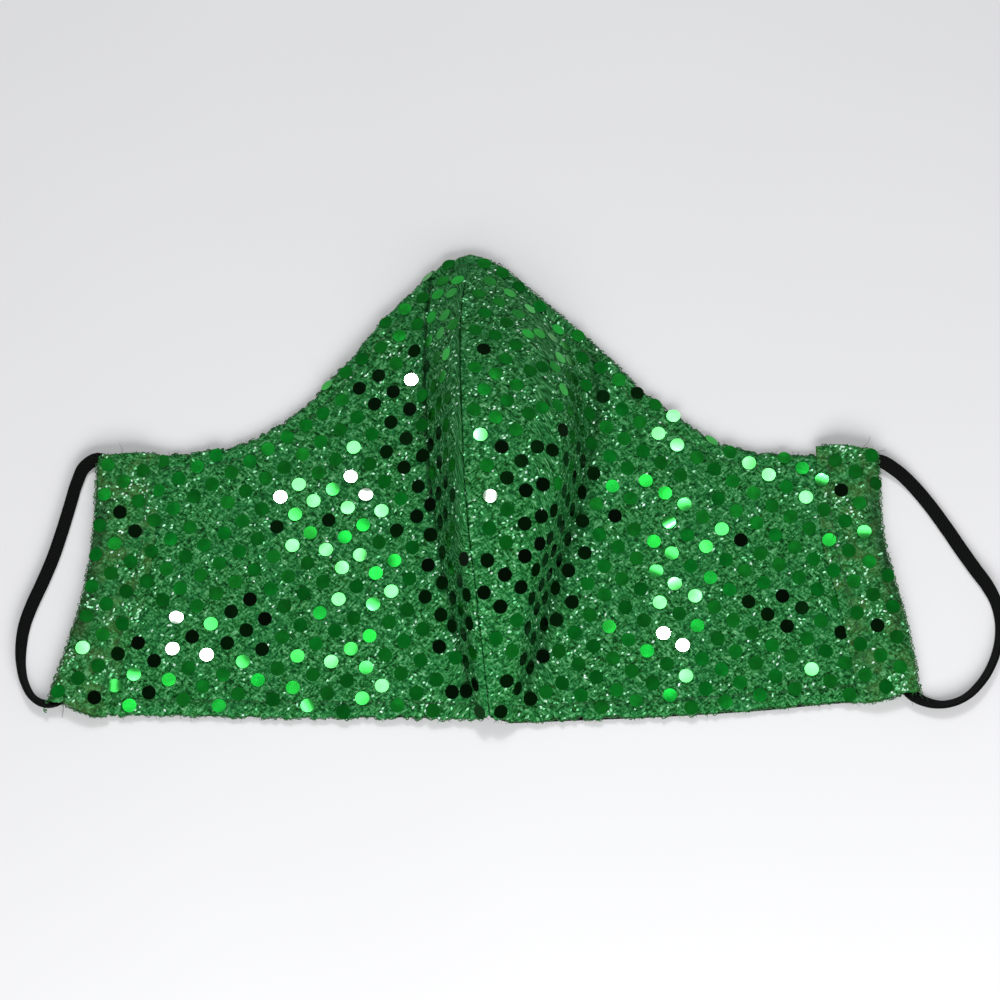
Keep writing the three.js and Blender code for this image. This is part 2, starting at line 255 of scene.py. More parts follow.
def read_curve(knots, samples, where):
    """A smooth curve through samples, one for each knot, read at `where`."""
    slopes = np.gradient(samples, knots, axis=0)
    i = np.clip(np.searchsorted(knots, where) - 1, 0, len(knots) - 2)
    shape = (-1,) + (1,) * (samples.ndim - 1)
    span = (knots[i + 1] - knots[i]).reshape(shape)
    t = ((where - knots[i]).reshape(shape)) / span
    start = (1 + 2 * t) * (1 - t) ** 2 * samples[i] + span * t * (1 - t) ** 2 * slopes[i]
    end = t * t * (3 - 2 * t) * samples[i + 1] - span * t * t * (1 - t) * slopes[i + 1]
    return start + end


def run_along(points):
    """Distance from the first point of a line, or the mean of it over a grid of lines."""
    steps = np.linalg.norm(np.diff(points, axis=0), axis=-1)
    if steps.ndim > 1:
        steps = steps.mean(axis=1)
    return np.concatenate([[0], np.cumsum(steps)])


def stops(length, first, last, spacing):
    """Places along a length: those in `first` from its start, those in `last` from its end,
    and evenly between them."""
    count = max(2, round((length - first[-1] - last[-1]) / spacing))
    middle = np.linspace(first[-1], length - last[-1], count + 1)
    return np.concatenate([first[:-1], middle, length - np.array(last[:-1])[::-1]])


def grid_normals(points, side):
    """Unit normals of a grid of points, on its upper side."""
    across = np.gradient(points, axis=0)
    along = np.gradient(points, axis=1)
    return unit(np.cross(across, along) * side)


def distance_to_line(points, line):
    """Distance of each point of a grid to the nearest segment of a line."""
    flat = points.reshape(-1, 3)
    best = np.full(len(flat), np.inf)
    for a, b in zip(line, line[1:]):
        step = b - a
        share = np.clip((flat - a) @ step / (step @ step), 0, 1)
        best = np.minimum(best, np.linalg.norm(flat - a - share[:, None] * step, axis=1))
    return best.reshape(points.shape[:-1])


def waves(x, y, seed, lengths, count=5):
    """A gentle uneven surface, from -1 to 1: waves of the given lengths in all directions."""
    dice = np.random.default_rng(seed)
    total = np.zeros_like(x)
    for _ in range(count):
        angle = dice.uniform(0, math.pi)
        number = 2 * math.pi / dice.uniform(*lengths)
        phase = dice.uniform(0, 2 * math.pi)
        total += np.sin((x * math.cos(angle) + y * math.sin(angle)) * number + phase)
    return total / count


# ------------------------------------------------------------------ meshes


def quads(grid):
    return np.stack([grid[:-1, :-1], grid[1:, :-1], grid[1:, 1:], grid[:-1, 1:]], -1).reshape(-1, 4)


def shell(upper, lower, side):
    """Points and faces of a closed skin round two grids of one size."""
    top = np.arange(upper.shape[0] * upper.shape[1]).reshape(upper.shape[:2])
    under = top + top.size
    pairs = [
        (under[:, 0], top[:, 0]),
        (top[:, -1], under[:, -1]),
        (top[0], under[0]),
        (under[-1], top[-1]),
    ]
    faces = [quads(top), quads(under)[:, ::-1]]
    faces += [quads(np.stack(pair, 1)) for pair in pairs]
    faces = np.concatenate(faces)
    points = np.concatenate([upper.reshape(-1, 3), lower.reshape(-1, 3)])
    return points, faces if side > 0 else faces[:, ::-1]


def ring_faces(rings, size, closed=False):
    """Quads between rings of points that follow each other."""
    faces = []
    for ring in range(rings if closed else rings - 1):
        here = ring * size + np.arange(size)
        after = ((ring + 1) % rings) * size + np.arange(size)
        faces.append(np.stack([here, np.roll(here, -1), np.roll(after, -1), after], 1))
    return np.concatenate(faces)


def copies(points, faces, places):
    """Many placed copies of one small form as one list of points and one of faces."""
    count = len(places)
    shift = np.arange(count).repeat(len(faces)) * len(points)
    return places.reshape(-1, 3), np.tile(faces, (count, 1)) + shift[:, None]


def add_piece(name, points, faces, material, uv=None, attributes=None, smooth=True):
    """A mesh object that rides on the mask. uv has a row for each point, in metres."""
    mesh = bpy.data.meshes.new(name)
    mesh.from_pydata(points.tolist(), [], [list(face) for face in faces])
    mesh.polygons.foreach_set("use_smooth", [smooth] * len(mesh.polygons))
    if uv is not None:
        corner_points = np.empty(len(mesh.loops), int)
        mesh.loops.foreach_get("vertex_index", corner_points)
        mesh.uv_layers.new(name="cloth").data.foreach_set("uv", uv[corner_points].ravel())
    for label, values in (attributes or {}).items():
        kind = "FLOAT_COLOR" if values.ndim == 2 else "FLOAT"
        field = "color" if values.ndim == 2 else "value"
        mesh.attributes.new(label, kind, "POINT").data.foreach_set(field, values.ravel())
    mesh.materials.append(material)
    mesh.update()
    piece = bpy.data.objects.new(name, mesh)
    bpy.context.scene.collection.objects.link(piece)
    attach(piece, "root")
    return piece


@lru_cache(maxsize=None)
def surface_of(*names):
    """The surface of one or more pieces, for placing things on it."""
    points, faces = [], []
    for name in names:
        mesh = bpy.data.objects[name].data
        start = len(points)
        points += [vertex.co for vertex in mesh.vertices]
        faces += [[start + i for i in polygon.vertices] for polygon in mesh.polygons]
    return BVHTree.FromPolygons(points, faces)


def drop_onto(tree, x, y):
    """Where a plumb line at x, y meets a surface from above: the point and its normal."""
    point, normal, _, _ = tree.ray_cast(Vector((x, y, 0.1)), Vector((0, 0, -1)))
    if point is None:
        return None, None
    return np.array(point), np.array(normal)


# ------------------------------------------------------------------ materials


class Shader:
    """A new material, with short ways to add nodes to it and join them."""

    def __init__(self, name):
        self.material = bpy.data.materials.new(name)
        self.material.use_nodes = True
        self.tree = self.material.node_tree
        self.surface = self.tree.nodes["Principled BSDF"]

    def feed(self, socket, value):
        if isinstance(value, bpy.types.NodeSocket):
            self.tree.links.new(value, socket)
        elif hasattr(value, "__len__") and len(value) == 3 and socket.type == "RGBA":
            socket.default_value = (*value, 1)
        else:
            socket.default_value = value

    def add(self, kind, settings=None, **sockets):
        node = self.tree.nodes.new(kind)
        for attribute, value in (settings or {}).items():
            setattr(node, attribute, value)
        for name, value in sockets.items():
            self.feed(node.inputs[name.replace("_", " ")], value)
        return node

    def finish(self, **sockets):
        for name, value in sockets.items():
            self.feed(self.surface.inputs[name.replace("_", " ")], value)
        return self.material

    def scaled(self, vector, factor):
        """A place or a colour times a factor."""
        node = self.add("ShaderNodeVectorMath", {"operation": "SCALE"}, Scale=factor)
        self.feed(node.inputs[0], vector)
        return node.outputs["Vector"]

    def fabric_mm(self):
        """Place on the flat cloth, in millimetres."""
        return self.scaled(self.add("ShaderNodeUVMap", {"uv_map": "cloth"}).outputs["UV"], 1000.0)

    def object_mm(self):
        """Place on the object, in millimetres."""
        return self.scaled(self.add("ShaderNodeTexCoord").outputs["Object"], 1000.0)

    def noise(self, place, scale, detail=2.0, roughness=0.5):
        return self.add("ShaderNodeTexNoise", Vector=place, Scale=scale, Detail=detail,
                        Roughness=roughness).outputs["Fac"]

    def strokes(self, place, turn, along, across):
        """Noise drawn out into short strokes. along and across are its fineness each way."""
        node = self.add("ShaderNodeMapping", {"vector_type": "TEXTURE"}, Vector=place,
                        Rotation=(0, 0, turn), Scale=(1 / along, 1 / across, 1.0))
        return self.noise(node.outputs["Vector"], 1.0, 3.0, 0.62)

    def wave(self, place, direction, scale, distortion, **sockets):
        node = self.add("ShaderNodeTexWave", {"bands_direction": direction}, Vector=place,
                        Scale=scale, Distortion=distortion, **sockets)
        return node.outputs["Fac"]

    def maths(self, operation, a, b):
        node = self.add("ShaderNodeMath", {"operation": operation})
        self.feed(node.inputs[0], a)
        self.feed(node.inputs[1], b)
        return node.outputs[0]

    def weighted(self, *parts):
        """Sum of values, each given with its weight."""
        total, *rest = [self.maths("MULTIPLY", value, weight) for value, weight in parts]
        for part in rest:
            total = self.maths("ADD", total, part)
        return total

    def between(self, value, low, high, to_low=0.0, to_high=1.0):
        """Value moved from the range low..high to another range, and held inside it."""
        node = self.add("ShaderNodeMapRange", {"interpolation_type": "SMOOTHSTEP"}, Value=value,
                        From_Min=low, From_Max=high, To_Min=to_low, To_Max=to_high)
        return node.outputs["Result"]

    def mix(self, share, a, b):
        """From a to b, as colours."""
        node = self.add("ShaderNodeMix", {"data_type": "RGBA"})
        self.feed(node.inputs["Factor"], share)
        colour_a, colour_b = [s for s in node.inputs if s.type == "RGBA"]
        self.feed(colour_a, a)
        self.feed(colour_b, b)
        return next(s for s in node.outputs if s.type == "RGBA")

    def ramp(self, value, colours):
        """Colours at places from 0 to 1, given as (place, colour)."""
        node = self.add("ShaderNodeValToRGB", Fac=value)
        elements = node.color_ramp.elements
        while len(elements) < len(colours):
            elements.new(0.5)
        for element, (place, colour) in zip(elements, colours):
            element.position = place
            element.color = (*colour, 1)
        return node.outputs["Color"]

    def bump(self, height, distance, strength=1.0):
        node = self.add("ShaderNodeBump", Height=height, Distance=distance, Strength=strength)
        return node.outputs["Normal"]

    def attribute(self, name, output="Fac"):
        return self.add("ShaderNodeAttribute", {"attribute_name": name}).outputs[output]


def shaded(colour, share):
    return tuple(share * c for c in colour)


def knit_material(name, colour, olive=0.0):
    """Crinkled metallic knit: short strokes of dark and pale yarn, with flecks of bright foil, and painted
    shade along its creases.

    olive is the share of a browner cast, as on the folded casings.
    """
    s = Shader(name)
    place = s.fabric_mm()
    one_way = s.strokes(place, math.radians(38), 0.5, 1.5)
    other_way = s.strokes(place, math.radians(-42), 0.5, 1.5)
    which = s.between(s.noise(place, 0.6, 2.0), 0.45, 0.55)
    strokes = s.mix(which, one_way, other_way)
    fine = s.noise(place, 1.9, 2.0, 0.6)
    blotches = s.noise(place, 0.75, 1.0)
    yarn = s.weighted((strokes, 0.5), (fine, 0.3), (blotches, 0.2))
    cloth = s.ramp(yarn, [
        (0.405, shaded(colour, 0.18)),
        (0.455, shaded(colour, 0.55)),
        (0.495, colour),
        (0.54, (0.042, 0.25, 0.072)),
        (0.59, (0.115, 0.37, 0.15)),
        (0.66, (0.28, 0.56, 0.32)),
    ])
    cast = s.between(s.noise(place, 0.11, 2.0), 0.42, 0.62, 0.0, 0.2)
    cloth = s.mix(cast, cloth, (0.010, 0.15, 0.045))
    warm = s.between(s.noise(place, 0.7, 2.0), 0.58, 0.74, 0.0, 0.25)
    cloth = s.mix(warm, cloth, (0.045, 0.14, 0.010))
    # Painted shade: the knit is darkened along its creases, where shade falls.
    cloth = s.mix(s.attribute("painted_crease_shade"), cloth, shaded(colour, 0.12))
    if olive:
        brown = s.between(s.noise(place, 0.25, 3.0), 0.44, 0.68, 0.1 * olive, olive)
        cloth = s.mix(brown, cloth, (0.075, 0.14, 0.035))
        cloth = s.mix(s.maths("MULTIPLY", s.attribute("elastic_below"), 0.7), cloth, (0.010, 0.016, 0.010))
    return s.finish(
        Base_Color=cloth,
        Roughness=s.between(yarn, 0.4, 0.6, 0.8, 0.5),
        Normal=s.bump(yarn, 0.5 * MM, 1.0),
        Specular_IOR_Level=0.08,
    )


def foil_material(name):
    """Thin coloured foil under a clear film, faintly uneven, in each sequin's shade: its foil colour,
    painted dark on some as a painted reflection and paler on others as a painted highlight.
    """
    s = Shader(name)
    place = s.object_mm()
    worn = s.between(s.noise(place, 0.5, 2.0), 0.35, 0.65, 0.9, 1.08)
    return s.finish(
        Base_Color=s.scaled(s.attribute("foil", "Color"), worn),
        Metallic=1.0,
        Roughness=s.between(s.noise(place, 0.3, 2.0), 0.35, 0.7, 0.17, 0.23),
        Coat_Weight=0.12,
        Coat_Roughness=0.2,
    )


def fleck_material(name):
    """Metallic yarn where it comes to the surface, its pale colour a painted glint."""
    s = Shader(name)
    shade = s.between(s.noise(s.object_mm(), 2.5, 2.0), 0.3, 0.7, 0.8, 1.1)
    return s.finish(
        Base_Color=s.scaled(s.attribute("foil", "Color"), shade), Metallic=0.3, Roughness=0.38)


def weave_material(name, colour):
    """Matt plain-woven cotton with lint."""
    s = Shader(name)
    place = s.fabric_mm()
    warp, weft = (s.wave(place, direction, 0.95, 0.5, Detail=1.0) for direction in "XY")
    slub = s.noise(place, 0.6, 4.0, 0.65)
    height = s.weighted((warp, 0.5), (weft, 0.5), (slub, 0.4))
    base = s.ramp(s.maths("MULTIPLY", height, 0.7), [
        (0.2, shaded(colour, 0.45)), (0.5, colour), (0.85, shaded(colour, 2.4))])
    lint = s.between(s.noise(place, 3.0, 2.0), 0.70, 0.76, 0.0, 0.35)
    base = s.mix(lint, base, (0.10, 0.11, 0.10))
    return s.finish(
        Base_Color=base, Roughness=0.92, Normal=s.bump(height, 0.12 * MM, 0.8),
        Specular_IOR_Level=0.15)


def elastic_material(name, colour):
    """Matt braided elastic: lengthwise ribs crossed by fine slanting yarn."""
    s = Shader(name)
    place = s.fabric_mm()
    braid = s.wave(place, "DIAGONAL", 0.55, 1.2, Detail=1.0, Detail_Scale=2.0)
    ribs = s.wave(place, "Y", 0.58, 0.15)
    height = s.weighted((braid, 0.45), (ribs, 0.55))
    base = s.ramp(height, [
        (0.15, shaded(colour, 0.5)), (0.5, colour), (0.9, shaded(colour, 2.1))])
    lint = s.between(s.noise(place, 2.2, 3.0), 0.68, 0.76, 0.0, 0.12)
    base = s.mix(lint, base, (0.12, 0.12, 0.12))
    return s.finish(
        Base_Color=base, Roughness=0.8, Normal=s.bump(height, 0.1 * MM, 0.7),
        Specular_IOR_Level=0.12)


def thread_material(name, colour):
    """Twisted sewing thread or loose yarn."""
    s = Shader(name)
    place = s.object_mm()
    twist = s.wave(place, "DIAGONAL", 1.3, 1.0)
    fibre = s.noise(place, 5.0, 2.0)
    base = s.ramp(s.maths("MULTIPLY", twist, fibre), [
        (0.05, shaded(colour, 0.5)), (0.3, colour), (0.6, shaded(colour, 1.7))])
    return s.finish(
        Base_Color=base, Roughness=0.55, Normal=s.bump(twist, 0.05 * MM, 0.5),
        Sheen_Weight=0.1)


def floor_material(name, colour):
    """Plain pale floor with the faintest unevenness."""
    s = Shader(name)
    place = s.object_mm()
    shade = s.between(s.noise(place, 0.01, 2.0), 0.3, 0.7, 0.985, 1.0)
    return s.finish(
        Base_Color=s.scaled(colour, shade), Roughness=0.6, Specular_IOR_Level=0.25,
        Normal=s.bump(s.noise(place, 0.6, 3.0), 0.03 * MM, 0.3))


@lru_cache(maxsize=None)
def finish_of(kind):
    """The material of each kind of surface, made once."""
    cloth = bpy.context.scene.mask_cloth
    elastic = bpy.context.scene.mask_elastic
    makers = {
        "knit": lambda: knit_material("sequined_knit", tuple(cloth.knit_colour)),
        "folded_knit": lambda: knit_material("folded_knit", tuple(cloth.knit_colour), 0.4),
        "foil": lambda: foil_material("sequin_foil"),
        "flecks": lambda: fleck_material("metallic_flecks_painted_glint"),
        "lining": lambda: weave_material("black_lining", tuple(cloth.lining_colour)),
        "elastic": lambda: elastic_material("braided_elastic", tuple(elastic.colour)),
        "thread": lambda: thread_material("sewing_thread", (0.012, 0.10, 0.022)),
        "yarn": lambda: thread_material("frayed_yarn", (0.03, 0.12, 0.03)),
        "knit_yarn": lambda: thread_material("knit_yarn", (0.03, 0.19, 0.045)),
    }
    return makers[kind]()


# ------------------------------------------------------------------ the cloth sheets

SEAM_STOPS = [d * MM for d in (0, 0.12, 0.3, 0.55, 0.85, 1.2, 1.6, 2.1, 2.6, 3.2)]
CASING_STOPS = [d * MM for d in (0, 0.15, 0.5, 1.0)]
HEM_STOPS = [d * MM for d in (
    0, 0.1, 0.28, 0.52, 0.8, 1.15, 1.55, 1.95, 2.35, 2.7, 3.0, 3.3, 3.6, 3.9, 4.25, 4.65, 5.1, 5.7)]
FLANK_WIDTH = 26 * MM    # the steep stretch beside the seam, where columns are closer
FLANK_SPACING = 0.55 * MM
PANEL_SPACING = 0.75 * MM
ROW_SPACING = 0.75 * MM
LINING_SPACING = 1.6 * MM
OVERHANG = 0.45 * MM     # how far the knit runs on towards the casing

LAYER_GAP = 0.1 * MM     # between the lining and the knit
LINING_THICKNESS = 0.95 * MM
LINING_INSET = {"left": (0.55 * MM, 0.45 * MM), "right": (0.12 * MM, 0.45 * MM)}   # bottom, top


class Sheet:
    """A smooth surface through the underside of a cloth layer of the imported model."""

    def __init__(self, node, side):
        self.side = side
        self.grid = cloth_grid(node, side)
        self.across = run_along(self.grid)
        self.along = run_along(np.swapaxes(self.grid, 0, 1))

    def read(self, columns, rows):
        strips = read_curve(self.across, self.grid, columns)
        return np.swapaxes(read_curve(self.along, np.swapaxes(strips, 0, 1), rows), 0, 1)

    def fine_columns(self):
        width = self.across[-1]
        flank = stops(FLANK_WIDTH, SEAM_STOPS, [0], FLANK_SPACING)
        panel = stops(width - FLANK_WIDTH, [0], CASING_STOPS, PANEL_SPACING)
        return np.concatenate([flank, FLANK_WIDTH + panel[1:]])

    def fine_rows(self):
        return stops(self.along[-1], HEM_STOPS, HEM_STOPS, ROW_SPACING)


# Dents and swellings of the cloth: place, reach across and along, turn of its long axis, and
# height. Millimetres and degrees.
FOLDS = [
    # x,    y,   across, along, turn, height
    (-17.0, 22.0,   3.2,  26.0,    6, -0.75),
    (-13.0, -18.0,  3.0,  20.0,  -10, -0.60),
    (24.0,  16.0,   3.2,  22.0,    6, -0.55),
    (17.0, -26.0,   3.0,  18.0,  -16, -0.50),
    (-40.0, -8.0,   9.0,  16.0,   25, 0.45),
    (-56.0, -30.0, 12.0,   7.0,   10, 0.40),
    (40.0, -12.0,  10.0,  14.0,  -20, 0.45),
    (60.0, -34.0,  12.0,   8.0,   -8, 0.40),
    (-79.0, -4.0,   2.0,   7.0,  -42, 0.55),
    (-75.0, -7.5,   1.6,   6.0,  -38, -0.40),
    (-81.0, -12.0,  1.8,   6.0,  -35, 0.45),
    (76.0, -6.0,    2.0,   9.0,   20, 0.40),
    (-8.0, -47.0,   4.0,   7.0,    0, -0.45),
    (8.0, -44.0,    4.0,  10.0,   12, 0.35),
]


def folds_at(x, y):
    """Height of the dents and swellings at each place."""
    total = np.zeros_like(x)
    for centre_x, centre_y, across, along, turn, height in FOLDS:
        dx, dy = x - centre_x * MM, y - centre_y * MM
        angle = math.radians(turn)
        u = dx * math.cos(angle) + dy * math.sin(angle)
        v = dy * math.cos(angle) - dx * math.sin(angle)
        total += height * MM * bell(u, across * MM) * bell(v, along * MM)
    return total


def hem_relief(distance, run, cloth):
    """Height of the turned hem over the flat cloth, at a distance from the edge."""
    edge = 1.0 * MM
    round_off = np.sqrt(np.clip(1 - (1 - np.clip(distance / edge, 0, 1)) ** 2, 0, 1)) - 1
    pull = 0.5 + 0.5 * np.cos(2 * math.pi * run / cloth.stitch_pitch)
    plateau = 0.20 * MM * smoothstep(cloth.hem_width, cloth.hem_width - 1.4 * MM, distance)
    groove = -(0.10 + 0.26 * pull) * MM * bell(distance - cloth.hem_width, 0.5 * MM)
    puff = 0.12 * MM * bell(distance - cloth.hem_width - 1.7 * MM, 1.3 * MM)
    return 0.6 * MM * round_off + plateau + groove + puff


def seam_relief(distance, run):
    """Height of the cloth beside the centre seam: it turns down into the seam."""
    pull = 0.5 + 0.5 * np.cos(2 * math.pi * run / (2.4 * MM))
    return (-(0.16 + 0.10 * pull) * MM * bell(distance, 0.4 * MM)
            + (0.08 - 0.05 * pull) * MM * bell(distance - 1.4 * MM, 0.8 * MM))


# Creases pressed into the cloth: depth and width in millimetres, how dark their painted shade
# is, and the line's places.
CREASES = [
    (0.75, 0.55, 0.85, [(-13.2, 50.5), (-13.9, 42.0), (-14.3, 30.0), (-14.3, 22.0), (-13.6, 8.0),
                        (-12.8, -4.0)]),
    (0.35, 0.6, 0.6, [(-12.8, -4.0), (-11.0, -16.0), (-8.2, -28.0), (-6.6, -36.0), (-3.0, -50.0)]),
    (0.25, 2.0, 0.55, [(25.5, 34.0), (26.5, 18.0), (24.5, 4.0), (21.5, -8.0), (18.0, -20.0),
                       (14.0, -34.0), (9.0, -48.0)]),
]


def creases_at(x, y):
    """Depth of the creases at each place, and their painted shade there, from 0 to 1."""
    places = np.stack([x, y, np.zeros_like(x)], -1)
    depth, shade = np.zeros_like(x), np.zeros_like(x)
    for deep, width, dark, line in CREASES:
        line = np.array([(a, b, 0) for a, b in line]) * MM
        near = bell(distance_to_line(places, line), width * MM)
        depth -= deep * MM * near
        shade = np.maximum(shade, dark * near)
    return depth, shade


def outward_from(edge, inside):
    """Unit directions out of the cloth, across one of its edges."""
    return unit(edge - inside)


SEAM_GAP = 0.3 * MM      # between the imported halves, closed here by the knit itself
HEM_COVER = {"left": (0.75, 0.50), "right": (0.75, 0.35)}   # fall of the top and bottom hems, mm


class KnitHalf:
    """One half of the knit: its two faces as grids, and how far each place is from the edges."""

    def __init__(self, label):
        cloth = bpy.context.scene.mask_cloth
        sheet = Sheet(f"outer_{label}", SIDES[label])
        self.side = sheet.side
        base = sheet.read(sheet.fine_columns(), sheet.fine_rows())
        normals = grid_normals(base, sheet.side)
        base[-1, :, 0] += sheet.side * OVERHANG
        self.top_run, self.bottom_run = run_along(base[:, -1]), run_along(base[:, 0])
        self.seam_run = run_along(base[0])
        self.to_top = distance_to_line(base, base[:, -1])
        self.to_bottom = distance_to_line(base, base[:, 0])
        self.to_seam = distance_to_line(base, base[0])
        x, y = base[..., 0], base[..., 1]
        to_hem = np.minimum(self.to_top, self.to_bottom)
        inner = smoothstep(0, 12 * MM, to_hem) * smoothstep(0, 9 * MM, self.to_seam)
        to_casing = distance_to_line(base, base[-1])
        # The creases' depth, and their painted shade for the knit's colour.
        pressed, self.shade = creases_at(x, y)
        relief = (
            hem_relief(self.to_top, self.top_run[:, None], cloth)
            + hem_relief(self.to_bottom, self.bottom_run[:, None], cloth)
            + seam_relief(self.to_seam, self.seam_run[None, :])
            * (0.35 + 0.65 * smoothstep(6 * MM, -24 * MM, y))
            + (folds_at(x, y) + pressed) * smoothstep(0, 3 * MM, to_hem)
            + 0.16 * MM * waves(x, y, 11, (9 * MM, 26 * MM)) * (0.4 + 0.6 * inner)
            + 0.06 * MM * waves(x, y, 12, (2.2 * MM, 5 * MM), 9)
            - 0.25 * MM * bell(to_casing, 0.6 * MM)
        )
        self.upper = base + normals * (cloth.outer_thickness + relief)[..., None]
        sunk = np.minimum(0, folds_at(x, y) + pressed)
        self.lower = base + normals * (LAYER_GAP + sunk)[..., None]
        self.lower[..., 2] = np.minimum(self.lower[..., 2], self.upper[..., 2] - 0.25 * MM)
        self.roll_hems(base, HEM_COVER[label])
        closing = 0.5 * (SEAM_GAP + 0.16 * MM) * smoothstep(1.6 * MM, 0, self.to_seam)
        self.upper[..., 0] -= self.side * closing
        self.lower[..., 0] -= self.side * closing

    def roll_hems(self, base, cover):
        """Rolls the top and bottom edges down over the lining, and makes their outline uneven."""
        hems = (
            (self.to_top, outward_from(base[:, -1], base[:, -8]), self.top_run, cover[0], 14),
            (self.to_bottom, outward_from(base[:, 0], base[:, 7]), self.bottom_run, cover[1], 17),
        )
        for distance, outward, run, fall, seed in hems:
            fall = fall * (1 + 0.3 * waves(run, run, seed, (9 * MM, 22 * MM)))[:, None]
            near = bell(distance, 0.6 * MM)
            bumps = 0.85 * MM * waves(run, 0 * run, seed + 1, (1.8 * MM, 3.0 * MM), 7)
            swing = 0.50 * MM * waves(run, 0 * run, seed + 2, (5 * MM, 12 * MM), 4)
            push = (0.12 * MM + bumps + swing)[:, None] * bell(distance, 1.3 * MM)
            for grid, share in ((self.upper, 0.55), (self.lower, 1.0)):
                grid += outward[:, None] * push[..., None]
                grid[..., 2] -= share * fall * MM * near
                grid[..., 2] = np.maximum(grid[..., 2], HEM_OFF_FLOOR)

    def hem_line(self, edge, distance):
        """The line on the cloth at a distance in from its top or bottom edge."""
        away = self.to_top[:, ::-1] if edge == "top" else self.to_bottom
        rows = self.upper[:, ::-1] if edge == "top" else self.upper
        line = []
        for column, reach in zip(rows, away):
            step = int(np.argmax(reach >= distance))
            share = (distance - reach[step - 1]) / (reach[step] - reach[step - 1])
            line.append(column[step - 1] + share * (column[step] - column[step - 1]))
        return np.array(line)


@lru_cache(maxsize=None)
def knit_half(label):
    return KnitHalf(label)


class FabricMap:
    """Where a place on a half lies in the flat cloth: outwards from the seam, and along it.

    Distances over the slopes are measured along the cloth. On the flat side panels the place in
    the cloth is the place on the floor.
    """

    STEP = 0.8 * MM
    LEVEL_Y = -25 * MM   # where distances along the cloth are counted from

    def __init__(self, upper, side):
        self.side = side
        outward, y, z = side * upper[..., 0], upper[..., 1], upper[..., 2]
        self.low = np.array([outward.min(), y.min()]) - 2 * self.STEP
        size = np.array([outward.max(), y.max()]) + 2 * self.STEP - self.low
        self.count = np.ceil(size / self.STEP).astype(int) + 1
        heights = self.level_heights(outward, y, z)
        stretch_x = np.sqrt(1 + np.gradient(heights, self.STEP, axis=0) ** 2) - 1
        stretch_y = np.sqrt(1 + np.gradient(heights, self.STEP, axis=1) ** 2) - 1
        from_casing = np.cumsum(stretch_x[::-1], axis=0)[::-1] * self.STEP
        level = int(round((self.LEVEL_Y - self.low[1]) / self.STEP))
        upward = np.cumsum(stretch_y, axis=1) * self.STEP
        self.extra_x = -from_casing
        self.extra_y = upward - upward[:, level:level + 1]

    def level_heights(self, outward, y, z):
        """Heights on an even grid of the floor, carried on level beyond the cloth."""
        heights = np.full(self.count, np.nan)
        column = np.clip(np.rint((outward - self.low[0]) / self.STEP).astype(int), 0, self.count[0] - 1)
        row = np.clip(np.rint((y - self.low[1]) / self.STEP).astype(int), 0, self.count[1] - 1)
        heights[column, row] = z
        for axis in (0, 1):
            heights = np.apply_along_axis(self.filled, axis, heights)
        return heights

    @staticmethod
    def filled(line):
        known = np.flatnonzero(~np.isnan(line))
        if len(known) == 0:
            return line
        return np.interp(np.arange(len(line)), known, line[known])

    def lookup(self, table, outward, y):
        u = np.clip((outward - self.low[0]) / self.STEP, 0, self.count[0] - 1.001)
        v = np.clip((y - self.low[1]) / self.STEP, 0, self.count[1] - 1.001)
        i, j = u.astype(int), v.astype(int)
        fu, fv = u - i, v - j
        return ((table[i, j] * (1 - fu) + table[i + 1, j] * fu) * (1 - fv)
                + (table[i, j + 1] * (1 - fu) + table[i + 1, j + 1] * fu) * fv)

    def to_cloth(self, x, y):
        outward = self.side * x
        return (outward + self.lookup(self.extra_x, outward, y),
                y + self.lookup(self.extra_y, outward, y))

    def to_floor(self, a, b):
        """The place whose place in the cloth is a, b."""
        outward, y = a.copy(), b.copy()
        for _ in range(80):
            miss_a = a - outward - self.lookup(self.extra_x, outward, y)
            miss_b = b - y - self.lookup(self.extra_y, outward, y)
            outward, y = outward + 0.35 * miss_a, y + 0.35 * miss_b
        return self.side * outward, y


@lru_cache(maxsize=None)
def fabric_map(label):
    return FabricMap(knit_half(label).upper, SIDES[label])


def cloth_uv(label, points):
    a, b = fabric_map(label).to_cloth(points[:, 0], points[:, 1])
    return np.stack([a, b], 1)


# ------------------------------------------------------------------ the casings

CASING_SPACING = 0.8 * MM
CASING_WALL = 0.95 * MM
CASING_WIDTH_AT = -20 * MM   # Y where the casing's width is read
CASING_STITCHES = 2.3 * MM   # from the casing's inner edge to its row of stitches
COVER_START = 2.5 * MM       # height of the upper layer where it meets the panel


